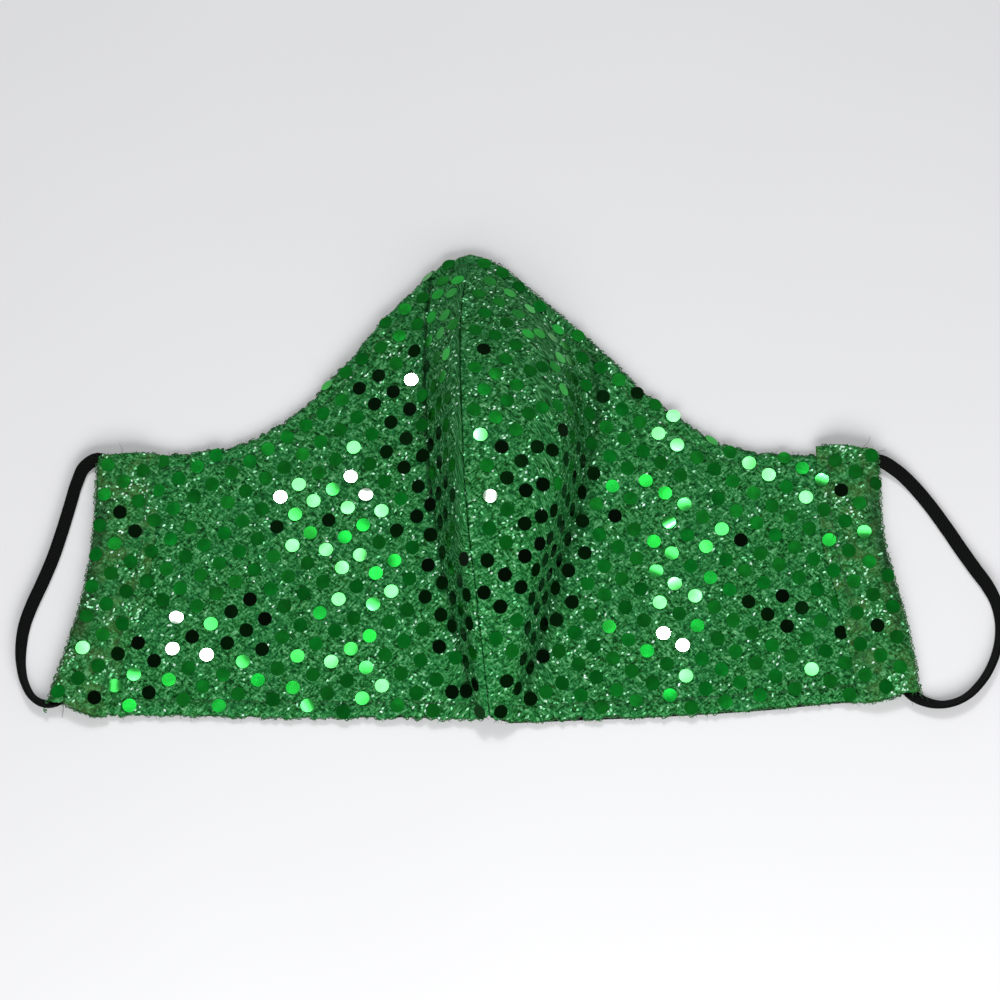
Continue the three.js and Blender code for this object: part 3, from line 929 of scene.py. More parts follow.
class Casing:
    """The flat tube at one end of the mask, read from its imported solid."""

    def __init__(self, label):
        self.side = SIDES[label]
        points, triangles = welded(f"casing_{label}")
        self.tree = BVHTree.FromPolygons(points.tolist(), triangles.tolist())
        self.low, self.high = points.min(axis=0), points.max(axis=0)
        self.height = self.high[2]
        middle = self.height / 2
        ys = np.linspace(self.low[1], self.high[1], 60)
        hits = [(y, self.cast((0, y, middle), (self.side, 0, 0))) for y in ys]
        self.inner = np.array([(y, hit[0]) for y, hit in hits if hit is not None])
        outer_hit = self.cast((2 * self.side, CASING_WIDTH_AT, middle), (-self.side, 0, 0))
        inner_x = np.interp(CASING_WIDTH_AT, self.inner[:, 0], self.inner[:, 1])
        self.width = abs(outer_hit[0] - inner_x)
        self.cover_ends = self.ends(self.height - 0.25 * MM)
        self.under_ends = self.ends(0.25 * MM)

    def cast(self, origin, direction):
        return self.tree.ray_cast(Vector(origin), Vector(direction))[0]

    def inner_x(self, y):
        """X of the casing's inner edge, carried on straight past its ends."""
        ys, xs = self.inner[:, 0], self.inner[:, 1]
        low_slope = (xs[6] - xs[0]) / (ys[6] - ys[0])
        high_slope = (xs[-1] - xs[-7]) / (ys[-1] - ys[-7])
        x = np.interp(y, ys, xs)
        return x + np.minimum(y - ys[0], 0) * low_slope + np.maximum(y - ys[-1], 0) * high_slope

    def ends(self, z):
        """How far one layer of the tube reaches down and up, at places across it."""
        shares = np.linspace(0.2, 0.74, 24)
        rows = []
        for share in shares:
            reach = []
            for start, direction in ((-0.2, 1), (0.2, -1)):
                y = self.low[1] if direction > 0 else self.high[1]
                for _ in range(4):
                    x = self.inner_x(y) + self.side * share * self.width
                    hit = self.cast((x, start, z), (0, direction, 0))
                    y = hit.y if hit is not None else y
                reach.append(y)
            rows.append((share, *reach))
        return np.array(rows)

    def end_y(self, share, cover, top):
        """Y of the tube's end: cover is 1 on the upper layer and 0 on the lower one."""
        column = 2 if top else 1
        upper = np.interp(share, self.cover_ends[:, 0], self.cover_ends[:, column])
        under = np.interp(share, self.under_ends[:, 0], self.under_ends[:, column])
        return under + (upper - under) * cover


def casing_section(casing):
    """Outline of the tube as rows of distance from the inner edge, height, and cover share.

    The upper layer starts level with the panel beside it and swells over the elastic.
    """
    fold = casing.height / 2
    flat_end = casing.width - fold
    across = stops(flat_end + OVERHANG, [0], [0], 0.42 * MM) - OVERHANG
    rise = smoothstep(-0.5 * MM, 5.0 * MM, across)
    cover_z = COVER_START + (casing.height - COVER_START) * rise
    cover_z -= 0.28 * MM * bell(across - CASING_STITCHES, 0.5 * MM)
    rows = [(d, z, 1.0) for d, z in zip(across, cover_z)]
    for angle in np.linspace(math.pi / 2, -math.pi / 2, 15)[1:-1]:
        distance = flat_end + fold * math.cos(angle)
        rows.append((distance, fold + fold * math.sin(angle), 0.5 + 0.5 * math.sin(angle)))
    under = stops(flat_end, [0], [0], 0.8 * MM)[::-1]
    rows += [(d, 0.03 * MM, 0.0) for d in under]
    rows += [(0, z * MM, z / 2.5) for z in (0.7, 1.4, 2.1)]
    rows.append((-OVERHANG, COVER_START - 0.3 * MM, 1.0))
    return np.array(rows)


def casing_bore(casing, section):
    """The same outline drawn in by the wall, round the elastic."""
    distance, height, cover = section.T
    start = CASING_STITCHES + 0.4 * MM
    squeeze = (casing.width - CASING_WALL - start) / (casing.width + OVERHANG)
    flatten = (casing.height - 2 * CASING_WALL) / casing.height
    return np.stack([start + (distance + OVERHANG) * squeeze, CASING_WALL + height * flatten, cover], 1)


def casing_ring(casing, section, along, crumple):
    """The points of one outline at a share of the way up the tube."""
    distance, height, cover = section.T
    share = distance / casing.width
    bottom = casing.end_y(share, cover, False)
    top = casing.end_y(share, cover, True)
    y = bottom + (top - bottom) * along
    x = casing.inner_x(y) + casing.side * distance
    soft = crumple * np.clip(distance / (4 * MM), 0, 1) * np.clip(height / (1.5 * MM) - 0.2, 0, 1)
    cross = waves(0.35 * x, y, 21, (4 * MM, 9 * MM), 7)
    bulk = waves(x, y, 22, (7 * MM, 16 * MM), 6)
    height = height + soft * (0.38 * MM * cross + 0.35 * MM * bulk)
    x = x + casing.side * soft * 0.3 * MM * waves(y, y, 23, (5 * MM, 12 * MM))
    return np.stack([x, y, height], 1)


END_ROUNDING = ((0.12, 0.06), (0.04, 0.02), (0.12, 0.06), (0.04, 0.02))


# ------------------------------------------------------------------ ear loops

# Routes of the ear loops, in millimetres: from inside the casing, out of its top, round, and
# back in at the bottom. The last column is the band's turn about its own line, in degrees:
# 0 lies flat and 90 stands on edge.
LEFT_LOOP = [
    (-86.6, -15.6, 2.05, 0), (-86.0, -8.6, 2.05, 0), (-85.9, -3.1, 2.05, 0),
    (-86.6, 1.6, 2.05, 0), (-88.8, 4.9, 1.95, 8), (-91.8, 6.0, 1.8, 24),
    (-94.6, 4.4, 1.3, 38), (-96.4, 0.2, 0.8, 44), (-97.7, -5.0, 0.6, 44),
    (-99.2, -11.0, 0.5, 42), (-101.2, -18.0, 0.5, 40), (-103.4, -24.0, 0.5, 40),
    (-105.5, -29.2, 0.5, 42), (-107.0, -34.2, 0.5, 48), (-107.5, -39.2, 0.5, 56),
    (-107.2, -43.8, 0.5, 68), (-106.1, -47.8, 0.6, 74), (-104.1, -51.0, 0.9, 72),
    (-101.3, -52.4, 1.4, 58), (-98.5, -51.7, 1.9, 30), (-96.1, -49.0, 2.05, 0),
    (-94.4, -45.0, 2.05, 0), (-92.8, -39.4, 2.05, 0), (-91.0, -33.6, 2.05, 0),
    (-89.4, -27.6, 2.05, 0), (-88.0, -21.6, 2.05, 0), (-86.8, -16.4, 2.05, 0),
]
RIGHT_LOOP = [
    (89.2, -15.6, 2.05, 0), (87.9, -8.6, 2.05, 0), (87.2, -3.4, 2.05, 0),
    (87.6, 1.4, 2.05, 0), (89.7, 4.9, 1.95, 0), (93.0, 5.6, 1.8, 4),
    (96.9, 3.5, 1.3, 8), (100.7, 0.0, 0.8, 10), (104.4, -4.7, 0.6, 10),
    (108.0, -10.1, 0.5, 12), (111.3, -15.5, 0.5, 16), (114.5, -20.6, 0.5, 26),
    (117.1, -24.6, 0.5, 40), (118.8, -28.5, 0.5, 56), (119.4, -32.8, 0.5, 68),
    (119.0, -37.4, 0.5, 72), (117.4, -42.5, 0.5, 70), (114.4, -47.4, 0.5, 68),
    (110.1, -51.2, 0.6, 66), (105.2, -52.6, 0.9, 58), (101.0, -51.8, 1.5, 40),
    (97.9, -49.9, 1.9, 16), (95.9, -46.6, 2.05, 0), (94.9, -41.6, 2.05, 0),
    (94.0, -35.1, 2.05, 0), (92.6, -28.6, 2.05, 0), (90.9, -22.0, 2.05, 0),
    (89.5, -16.4, 2.05, 0),
]
BAND_STEP = 0.9 * MM
BAND_RIBS = 6


def band_section(elastic):
    """Outline of the elastic: a flat bar with lengthwise ribs on both faces and round edges."""
    half_width, half_thick = elastic.width / 2, elastic.thickness / 2
    rib = 0.14 * half_thick
    across = np.linspace(0.86, -0.86, 4 * BAND_RIBS + 1)
    ribbed = half_thick - rib * (0.5 - 0.5 * np.cos(2 * math.pi * BAND_RIBS * (across + 0.86) / 1.72))
    angles = np.linspace(math.pi / 2, -math.pi / 2, 7)[1:-1]
    side_x = 0.86 + 0.14 * np.cos(angles)
    side_z = half_thick * np.sin(angles)
    upper = np.stack([across * half_width, ribbed], 1)
    left = np.stack([-side_x * half_width, side_z], 1)
    return np.concatenate([upper, left, -upper, -left])


def ear_loop(label, elastic):
    """One elastic band along its route, and the line that it follows."""
    route = np.array(LEFT_LOOP if label == "left" else RIGHT_LOOP, float)
    knots = run_along(route[:, :3] * MM)
    where = np.linspace(0, knots[-1], round(knots[-1] / BAND_STEP) + 1)
    line = read_curve(knots, route[:, :3] * MM, where)
    turn = np.radians(np.interp(where, knots, route[:, 3]))
    lift = 0.5 * elastic.width * np.abs(np.sin(turn)) + 0.5 * elastic.thickness * np.cos(turn)
    line[:, 2] = np.maximum(line[:, 2], lift + HEM_OFF_FLOOR)
    tangent = unit(np.gradient(line, axis=0))
    level = unit(np.cross(tangent, (0, 0, 1.0)))
    rise = np.cross(level, tangent)
    handed = -SIDES[label] * turn[:, None]
    wide = level * np.cos(handed) + rise * np.sin(handed)
    thick = rise * np.cos(handed) - level * np.sin(handed)
    section = band_section(elastic)
    rings = line[:, None] + wide[:, None] * section[:, :1] + thick[:, None] * section[:, 1:]
    count = len(section)
    faces = [list(face)[::-1] for face in ring_faces(len(rings), count)]
    faces.append(list(range(count)))
    faces.append([(len(rings) - 1) * count + i for i in reversed(range(count))])
    around = run_along(np.concatenate([section, section[:1]]))[:-1]
    uv = np.stack(np.meshgrid(where, around, indexing="ij"), -1).reshape(-1, 2)
    piece = add_piece(f"elastic_{label}", rings.reshape(-1, 3), faces, finish_of("elastic"),
                      uv=uv)
    return piece, line


# ------------------------------------------------------------------ sequins

# The sequins stand on a slanting lattice, the same on both halves as mirror images. Its two
# steps are given outwards from the seam and towards the nose, in millimetres.
LATTICE_STEPS = ((3.7, 4.4), (4.4, -2.9))
LATTICE_START = {"left": (71.5, -32.5), "right": (65.5, -31.5)}
SEGMENTS = 20

# Stretches of the cloth that face the lights, and the shares of their sequins that are turned to
# the middle of the lamp ("white"), to the softer light round it ("mint"), to its rim ("half")
# and just past it ("bright"). Millimetres, the left half first. A seeded draw picks the sequins.
GLINT_KINDS = ("white", "mint", "half", "bright")
GLINT_PATCHES = [
    # x,  y, reach, white, mint, half, bright
    (-37, -8, 13, 0.14, 0.38, 0.12, 0.12),
    (-28, -20, 10, 0.00, 0.20, 0.10, 0.20),
    (-33, 10, 6, 0.00, 0.25, 0.15, 0.20),
    (-35, -36, 12, 0.00, 0.14, 0.05, 0.12),
    (-68, -37, 7, 0.45, 0.05, 0.05, 0.00),
    (-80, -48, 8, 0.10, 0.05, 0.15, 0.15),
    (-50, -51, 12, 0.00, 0.05, 0.25, 0.12),
    (-24, -51, 8, 0.10, 0.05, 0.25, 0.10),
    (46, 13, 7, 0.15, 0.25, 0.05, 0.00),
    (68, 4, 7, 0.00, 0.25, 0.10, 0.05),
    (36, -2, 8, 0.00, 0.10, 0.10, 0.20),
    (50, -16, 12, 0.00, 0.22, 0.12, 0.15),
    (47, -37, 11, 0.12, 0.20, 0.05, 0.10),
    (28, -33, 5, 0.00, 0.25, 0.00, 0.30),
    (42, -50, 8, 0.00, 0.05, 0.35, 0.10),
    (74, -45, 7, 0.00, 0.15, 0.20, 0.00),
    (82, -5, 10, 0.00, 0.10, 0.10, 0.15),
]
# Single sequins that face a light by themselves, apart from those stretches.
LONE_SEQUINS = [
    (-19, 23, "white"), (-2, 6, "mint"), (-1, -9, "white"), (-92, -42, "mint"),
]
LONE_REACH = 3 * MM      # how far such a place may be from its sequin

# Patches where the foil is painted dark, a painted reflection of the dark side of the room: place,
# reach and share of the sequins there that are painted dark.
PAINTED_DARK_PATCHES = [
    # x,  y, reach, share
    (15, -4, 14, 0.85),
    (10, -20, 14, 0.90),
    (5, -36, 13, 0.90),
    (0, -48, 12, 0.85),
    (-14, 6, 7, 0.80),
    (-13, -10, 8, 0.80),
    (-10, -24, 8, 0.85),
    (-8, -38, 8, 0.85),
    (-22, 24, 9, 0.85),
    (-20, 8, 7, 0.80),
    (-20, -50, 7, 0.50),
    (-58, -36, 11, 0.75),
    (-80, -44, 9, 0.60),
    (-88, -12, 7, 0.50),
    (33, 23, 6, 0.60),
    (56, -12, 6, 0.60),
    (69, -33, 9, 0.55),
    (86, -7, 8, 0.55),
    (86, -35, 6, 0.40),
]
QUIET_PAINTED_DARK_SHARE = 0.03     # share of dark sequins everywhere else

# How many degrees beside the lamp each kind of sequin looks, how much paler its foil is painted
# than the others' as a painted highlight, and how far its rim bends up or down, in millimetres.
CLEAR_OF_LAMP = (21.0, 25.0)
LEANS = {"white": (2.0, 5.0), "mint": (8.0, 9.5), "half": (10.0, 12.0), "bright": (13.5, 15.0)}
PAINTED_HIGHLIGHT_SHARES = {"white": 0.6, "mint": 0.07, "half": 0.03}
BENDS = {"white": 0.09, "mint": 0.035, "half": 0.09}


def lattice_places(label, low, high):
    """Places of the lattice in the flat cloth, inside a box of it, in metres."""
    start = np.array(LATTICE_START[label]) * MM
    first, second = np.array(LATTICE_STEPS) * MM
    reach = np.arange(-60, 61)
    i, j = (count.ravel()[:, None] for count in np.meshgrid(reach, reach))
    places = start + i * first + j * second
    inside = np.all((places > low) & (places < high), axis=1)
    return places[inside]


def sequin_form(sequins):
    """Points and faces of one thin round sequin."""
    radius, half = sequins.diameter / 2, sequins.thickness / 2
    rings = [(0.35, half), (0.7, half), (1.0, half), (1.0, -half)]
    angles = np.arange(SEGMENTS) * 2 * math.pi / SEGMENTS
    points = [(0, 0, half)]
    for share, z in rings:
        points += [(share * radius * math.cos(a), share * radius * math.sin(a), z) for a in angles]
    points.append((0, 0, -half))
    last = len(points) - 1
    around = np.arange(SEGMENTS)
    after = np.roll(around, -1)
    faces = [np.stack([np.zeros(SEGMENTS, int), 1 + around, 1 + after], 1)]
    for ring in range(len(rings) - 1):
        inner, outer = 1 + ring * SEGMENTS, 1 + (ring + 1) * SEGMENTS
        faces.append(np.stack([inner + around, outer + around, outer + after], 1))
        faces.append(np.stack([inner + around, outer + after, inner + after], 1))
    edge = 1 + (len(rings) - 1) * SEGMENTS
    faces.append(np.stack([edge + around, np.full(SEGMENTS, last), edge + after], 1))
    return np.array(points), np.concatenate(faces)


def turned_frame(normal, spin):
    """Three unit axes with the last along the normal."""
    across = unit(np.cross((math.sin(spin), math.cos(spin), 0.1), normal))
    return np.array([across, np.cross(normal, across), normal])


def halfway(point):
    """The normal that turns the lamp's light to the camera."""
    objects = bpy.data.objects
    to_camera = (objects["camera"].location - Vector(point)).normalized()
    to_lamp = (objects["lamp"].location - Vector(point)).normalized()
    return np.array((to_camera + to_lamp).normalized())


def leaning(point, normal, away):
    """The normal that sends light from `away` degrees beside the lamp to the camera."""
    full = halfway(point)
    aside = normal - (normal @ full) * full
    aside /= max(np.linalg.norm(aside), 1e-6)
    turn = math.radians(away / 2)
    return full * math.cos(turn) + aside * math.sin(turn)


def tilted(normal, angle, dice):
    """The normal turned a little, by a spread of `angle` degrees."""
    shift = dice.normal(0, math.radians(angle), 3)
    return unit(normal + shift - (shift @ normal) * normal)


# Chance that a sequin's foil is painted dark, as a painted reflection.
def painted_dark_chance(point):
    chance = QUIET_PAINTED_DARK_SHARE
    for x, y, reach, share in PAINTED_DARK_PATCHES:
        away = math.hypot(point[0] - x * MM, point[1] - y * MM)
        chance = max(chance, share * float(smoothstep(1.15 * reach * MM, 0.75 * reach * MM, away)))
    return chance


class SequinField:
    """Sequins on one surface: finds their places, turns and shades, then joins them."""

    def __init__(self, name, tree, seed):
        self.name = name
        self.tree = tree
        self.dice = np.random.default_rng(seed)
        self.settings = bpy.context.scene.mask_sequins
        self.places = []
        self.normals = []

    def settle(self, x, y):
        """Adds the sequins that land on the surface."""
        for px, py in zip(x, y):
            shift = np.clip(self.dice.normal(0, 0.12 * MM, 2), -0.3 * MM, 0.3 * MM)
            point, normal = drop_onto(self.tree, px + shift[0], py + shift[1])
            if point is not None and normal[2] > 0.05:
                self.places.append(point)
                self.normals.append(self.mean_normal(point, normal))

    def spots(self, point, axes, reaches, count):
        """Places under a sequin: `count` round each circle, at shares of its radius."""
        for reach in reaches:
            for k in range(count):
                angle = 2 * k * math.pi / count
                beside = math.cos(angle) * axes[0] + math.sin(angle) * axes[1]
                yield point + beside * reach * self.settings.diameter / 2

    def mean_normal(self, point, normal):
        """The normal of the cloth over the width of a sequin."""
        total = np.array(normal)
        for spot in self.spots(point, turned_frame(normal, 0.0), (0.35, 0.8), 6):
            near = self.tree.find_nearest(Vector(spot))[1]
            if near.dot(Vector(normal)) > 0.3:
                total += np.array(near)
        return unit(total)

    def keep(self, chosen):
        self.places = [place for place, wanted in zip(self.places, chosen) if wanted]
        self.normals = [normal for normal, wanted in zip(self.normals, chosen) if wanted]

    def kinds(self):
        """The kind of each sequin: plain, dark (painted dark, a painted reflection), or one of those that
        stand out.
        """
        places = np.array(self.places)[:, :2]
        kinds = ["dark" if self.dice.random() < painted_dark_chance(p) else "plain" for p in self.places]
        for x, y, reach, *shares in GLINT_PATCHES:
            for index in np.flatnonzero(np.linalg.norm(places - np.array((x, y)) * MM, axis=1)
                                        < reach * MM):
                pick = int(np.searchsorted(np.cumsum(shares), self.dice.random()))
                if pick < len(GLINT_KINDS):
                    kinds[index] = GLINT_KINDS[pick]
        for x, y, kind in LONE_SEQUINS:
            away = np.linalg.norm(places - np.array((x, y)) * MM, axis=1)
            if away.min() < LONE_REACH:
                kinds[int(away.argmin())] = kind
        return kinds

    def resting_height(self, point, axes):
        """How far a sequin has to move out so that no cloth stands through it."""
        heights = [0.0]
        drop = 2 * MM
        for spot in self.spots(point, axes, (0.5, 0.97), 12):
            start = Vector(spot + drop * axes[2])
            distance = self.tree.ray_cast(start, Vector(-axes[2]), 2 * drop)[3]
            if distance is not None:
                heights.append(drop - distance)
        return max(heights)

    def turn(self, point, normal, kind):
        """The sequin's own normal. It leans from the cloth's as far as its kind asks."""
        if kind in LEANS:
            low, high = LEANS[kind]
            return leaning(point, normal, self.dice.uniform(low, high))
        own = tilted(normal, 1.1, self.dice)
        glare = math.degrees(2 * math.acos(min(1.0, float(own @ halfway(point)))))
        return leaning(point, own, self.dice.uniform(*CLEAR_OF_LAMP)) if glare < CLEAR_OF_LAMP[0] else own

    def shade(self, kind):
        """Foil colour of a sequin, with painted shade on the dark ones and a painted highlight on those
        turned to the lamp.
        """
        green = np.array(self.settings.foil_colour)
        # Painted reflection: the foil is painted near black where the sequin would mirror the dark side of
        # the room.
        if kind == "dark":
            return green * self.dice.uniform(0.015, 0.09)
        # Painted highlight: sequins turned to the lamp are given paler foil than their real colour.
        if kind in PAINTED_HIGHLIGHT_SHARES:
            return green + PAINTED_HIGHLIGHT_SHARES[kind] * (1 - green)
        yellower = self.dice.uniform(0.6, 2.2)
        return np.clip(green * (yellower, 1, 1.0) * self.dice.uniform(0.62, 1.15), 0, 1)

    def join(self, slot):
        form, faces = sequin_form(self.settings)
        radius = self.settings.diameter / 2
        placed, shades = [], []
        for point, normal, kind in zip(self.places, self.normals, self.kinds()):
            own = self.turn(point, normal, kind)
            spin = self.dice.uniform(0, 2 * math.pi)
            bend = self.dice.normal(0, BENDS.get(kind, 0.015)) * MM
            shape = form.copy()
            shape[:, 2] += bend * (form[:, 0] / radius) ** 2
            axes = turned_frame(own, spin)
            lift = self.resting_height(point, axes) + 0.5 * self.settings.thickness
            placed.append(shape @ axes + point + own * lift)
            shades.append(np.tile((*self.shade(kind), 1.0), (len(form), 1)))
        points, all_faces = copies(form, faces, np.array(placed))
        piece = add_piece(self.name, points, all_faces, finish_of("foil"),
                          attributes={"foil": np.concatenate(shades)})
        piece.data.set_sharp_from_angle(angle=math.radians(40))


# ------------------------------------------------------------------ flecks, stitches, yarn

FLECK_FORM = np.array([(1, 0, 0), (0, 1, 0), (-1, 0, 0), (0, -1, 0), (0, 0, 1), (0, 0, -1)], float)
FLECK_FACES = np.array([
    (0, 1, 4), (1, 2, 4), (2, 3, 4), (3, 0, 4), (1, 0, 5), (2, 1, 5), (3, 2, 5), (0, 3, 5)])
# Painted glints: the flecks' colours are near white in green, standing for the glint of metallic yarn.
FLECK_PAINTED_GLINT_SHADES = [(0.45, 1.0, 0.60), (0.22, 0.9, 0.36), (0.70, 1.0, 0.82)]
FLECK_MIX = (0.5, 0.3, 0.2)    # share of each shade
# Half the length, the width and the height of a fleck in millimetres, as least and most.
FLECK_LENGTH = (0.24, 0.58)
FLECK_WIDTH = (0.20, 0.32)
FLECK_HEIGHT = 0.04


def flecks(name, tree, sequins, x, y, seed):
    """Short lengths of metallic yarn lying on the cloth, most of them along one slant, pale with painted
    glint colour.
    """
    dice = np.random.default_rng(seed)
    placed, shades = [], []
    for px, py in zip(x, y):
        point, normal = drop_onto(tree, px, py)
        if point is None or normal[2] < 0.2 or drop_onto(sequins, px, py)[0] is not None:
            continue
        own = tilted(normal, 9, dice)
        length, width = dice.uniform(*FLECK_LENGTH), dice.uniform(*FLECK_WIDTH)
        size = np.array((length, width, FLECK_HEIGHT)) * MM
        slant = math.radians(dice.normal(42, 24) if dice.random() < 0.7 else dice.uniform(0, 180))
        axes = turned_frame(own, -slant)
        placed.append((FLECK_FORM * size) @ axes + point + normal * FLECK_HEIGHT * MM)
        shade = FLECK_PAINTED_GLINT_SHADES[int(dice.choice(3, p=FLECK_MIX))]
        shades.append(np.tile((*shade, 1.0), (len(FLECK_FORM), 1)))
    points, faces = copies(FLECK_FORM, FLECK_FACES, np.array(placed))
    return add_piece(name, points, faces, finish_of("flecks"), smooth=False,
                     attributes={"foil": np.concatenate(shades)})


def scattered(dice, count, low, high, clustering):
    """Random places in a box, thinned where a slow unevenness is low, so that they cluster."""
    x = dice.uniform(low[0], high[0], count)
    y = dice.uniform(low[1], high[1], count)
    crowd = waves(x, y, 31, (6 * MM, 18 * MM), 6)
    keep = dice.random(count) < (1 - clustering) + clustering * np.clip(2 * crowd, -1, 1)
    return x[keep], y[keep]


def halved(faces):
    """Each quad as two triangles."""
    return [corners for a, b, c, d in faces for corners in ((a, b, c), (a, c, d))]


def capsule(length, radius):
    """Points and faces of a thread's visible stitch: a rod with round ends, along X."""
    segments = 8
    stations = np.linspace(-1, 1, 11)
    profile = radius * np.sqrt(np.clip(1 - np.abs(stations) ** 4, 0, 1))[1:-1]
    places = (0.5 * length * stations)[1:-1]
    angles = np.arange(segments) * 2 * math.pi / segments
    points = [(x, r * math.cos(a), r * math.sin(a)) for x, r in zip(places, profile) for a in angles]
    points += [(-0.5 * length, 0, 0), (0.5 * length, 0, 0)]
    start, end = len(points) - 2, len(points) - 1
    last = (len(places) - 1) * segments
    triangles = halved(ring_faces(len(places), segments))
    for k in range(segments):
        after = (k + 1) % segments
        triangles += [(start, after, k), (end, last + k, last + after)]
    return np.array(points), np.array(triangles)


STITCH_SHARE = 0.74           # of the stitch pitch that shows as thread
STITCH_RADIUS = 0.17 * MM


class Stitches:
    """Rows of one kind of stitch, joined at the end."""

    def __init__(self, length, radius):
        self.form, self.faces = capsule(length, radius)
        self.length, self.radius = length, radius
        self.placed = []

    def add_row(self, line, run, tree, pitch):
        """Stitches along a line on a surface. run is the distance that their pitch counts in."""
        for middle in np.arange(0.5 * pitch, run[-1], pitch):
            reach = 0.35 * self.length
            ends = [[np.interp(middle + d, run, line[:, k]) for k in (0, 1)] for d in (-reach, reach)]
            (a, normal_a), (b, normal_b) = [drop_onto(tree, *end) for end in ends]
            if a is None or b is None:
                continue
            along = unit(b - a)
            normal = (normal_a + normal_b) / 2
            across = unit(np.cross(normal, along))
            axes = np.array([along, across, np.cross(along, across)])
            self.placed.append(self.form @ axes + (a + b) / 2 + normal * (0.55 * self.radius))

    def join(self, name, material, slot):
        points, faces = copies(self.form, self.faces, np.array(self.placed))
        return add_piece(name, points, faces, finish_of(material))


DROOP = 0.05    # how far a loose fibre's heading falls at each step


def strand(start, heading, length, thickness, dice, steps=5, curl=0.5):
    """Points of one loose fibre, bent at random, that tapers to its end."""
    heading = unit(heading)
    line = [np.array(start)]
    for _ in range(steps):
        heading = heading + dice.normal(0, curl, 3) * 0.5
        heading[2] -= DROOP
        heading = unit(heading)
        line.append(line[-1] + heading * length / steps)
    line = np.array(line)
    return thread_points(line, thickness * np.linspace(1, 0.45, len(line))[:, None])


def thread_points(line, thickness):
    """Points of a thin strip with three sides along a line that stays above the floor."""
    line[:, 2] = np.maximum(line[:, 2], thickness[:, 0] + OFF_FLOOR)
    tangent = np.gradient(line, axis=0)
    side_a = unit(np.cross(tangent, (0.3, 0.1, 1.0)))
    side_b = unit(np.cross(tangent, side_a))
    rings = []
    for k in range(3):
        angle = 2 * math.pi * k / 3
        rings.append(line + thickness * (math.cos(angle) * side_a + math.sin(angle) * side_b))
    return np.stack(rings, 1).reshape(-1, 3)


def strand_faces(steps):
    end = 3 * steps
    return np.array(halved(ring_faces(steps + 1, 3)) + [(2, 1, 0), (end, end + 1, end + 2)])


def join_strands(name, strands, material):
    """One piece of all the strands, which may have different numbers of steps."""
    parts, all_faces, start = [], [], 0
    for points in strands:
        parts.append(points)
        all_faces.append(strand_faces(len(points) // 3 - 1) + start)
        start += len(points)
    return add_piece(
        name, np.concatenate(parts), np.concatenate(all_faces), finish_of(material))


def yarn_loops(edge, outward, spacing, dice):
    """Small loops of the knit's yarn that stand a little out of its edge."""
    run = run_along(edge)
    loops = []
    for where in np.arange(spacing, run[-1] - spacing, spacing) + dice.normal(0, 0.3 * spacing, 1):
        where += dice.normal(0, 0.3 * spacing)
        start, way = (read_curve(run, line, np.array([where]))[0] for line in (edge, outward))
        along = unit(np.cross((0, 0, 1), way))
        reach, half_width = dice.uniform(0.15, 0.6) * MM, dice.uniform(0.3, 0.7) * MM
        lean = dice.uniform(-0.5, 0.5)
        angles = np.linspace(0, math.pi, 7)[:, None]
        rise = dice.uniform(-0.2, 0.35) * MM
        line = (start - way * 0.25 * MM + along * half_width * (np.cos(angles) + lean * np.sin(angles))
                + (way * (reach + 0.25 * MM) + np.array((0, 0, rise))) * np.sin(angles))
        loops.append(thread_points(line, dice.uniform(0.10, 0.17) * MM * np.ones((len(line), 1))))
    return loops


def fringe(edge, outward, count, dice, longest):
    """Short fibres that stand out of an edge of the cloth."""
    run = run_along(edge)
    strands = []
    for where in np.sort(dice.uniform(0, run[-1], count)):
        start, way = (read_curve(run, line, np.array([where]))[0] for line in (edge, outward))
        heading = way + dice.normal(0, 0.75, 3) * (1, 1, 0.55)
        length = longest * dice.uniform(0.25, 1) ** 2
        start = start - way * 0.15 * MM
        strands.append(strand(start, heading, length, dice.uniform(0.04, 0.08) * MM, dice))
    return strands


# Loose threads at the corners: place, direction in degrees and length. Millimetres.
LOOSE_THREADS = {
    "left": [(-86.5, 6.8, 75, 3.6), (-98.6, -51.0, 200, 4.2), (-97.0, -52.2, 250, 3.4),
             (-84.5, 6.0, 140, 2.6)],
    "right": [(89.0, 8.6, 60, 4.2), (92.0, 8.0, 20, 3.2), (100.0, -49.2, 315, 4.4),
              (97.5, -49.8, 280, 3.2)],
}


def casing_edges(casing):
    """The outer fold and the two open ends of a casing, with the way out of each."""
    share = np.linspace(0.05, 0.95, 24)
    outer_y = np.linspace(casing.low[1] + 1.5 * MM, casing.high[1] - 1.5 * MM, 60)
    outer_x = casing.inner_x(outer_y) + casing.side * casing.width
    lines = []
    height = 0.55 * casing.height
    lines.append((np.stack([outer_x, outer_y, height + 0 * outer_y], 1), (casing.side, 0, 0)))
    for top, way in ((False, -1), (True, 1)):
        y = np.array([casing.end_y(s, 1, top) for s in share])
        x = np.array([casing.inner_x(b) for b in y]) + casing.side * share * casing.width
        lines.append((np.stack([x, y, height + 0 * x], 1), (0, way, 0)))
    return [(line, np.tile(np.array(way, float), (len(line), 1))) for line, way in lines]


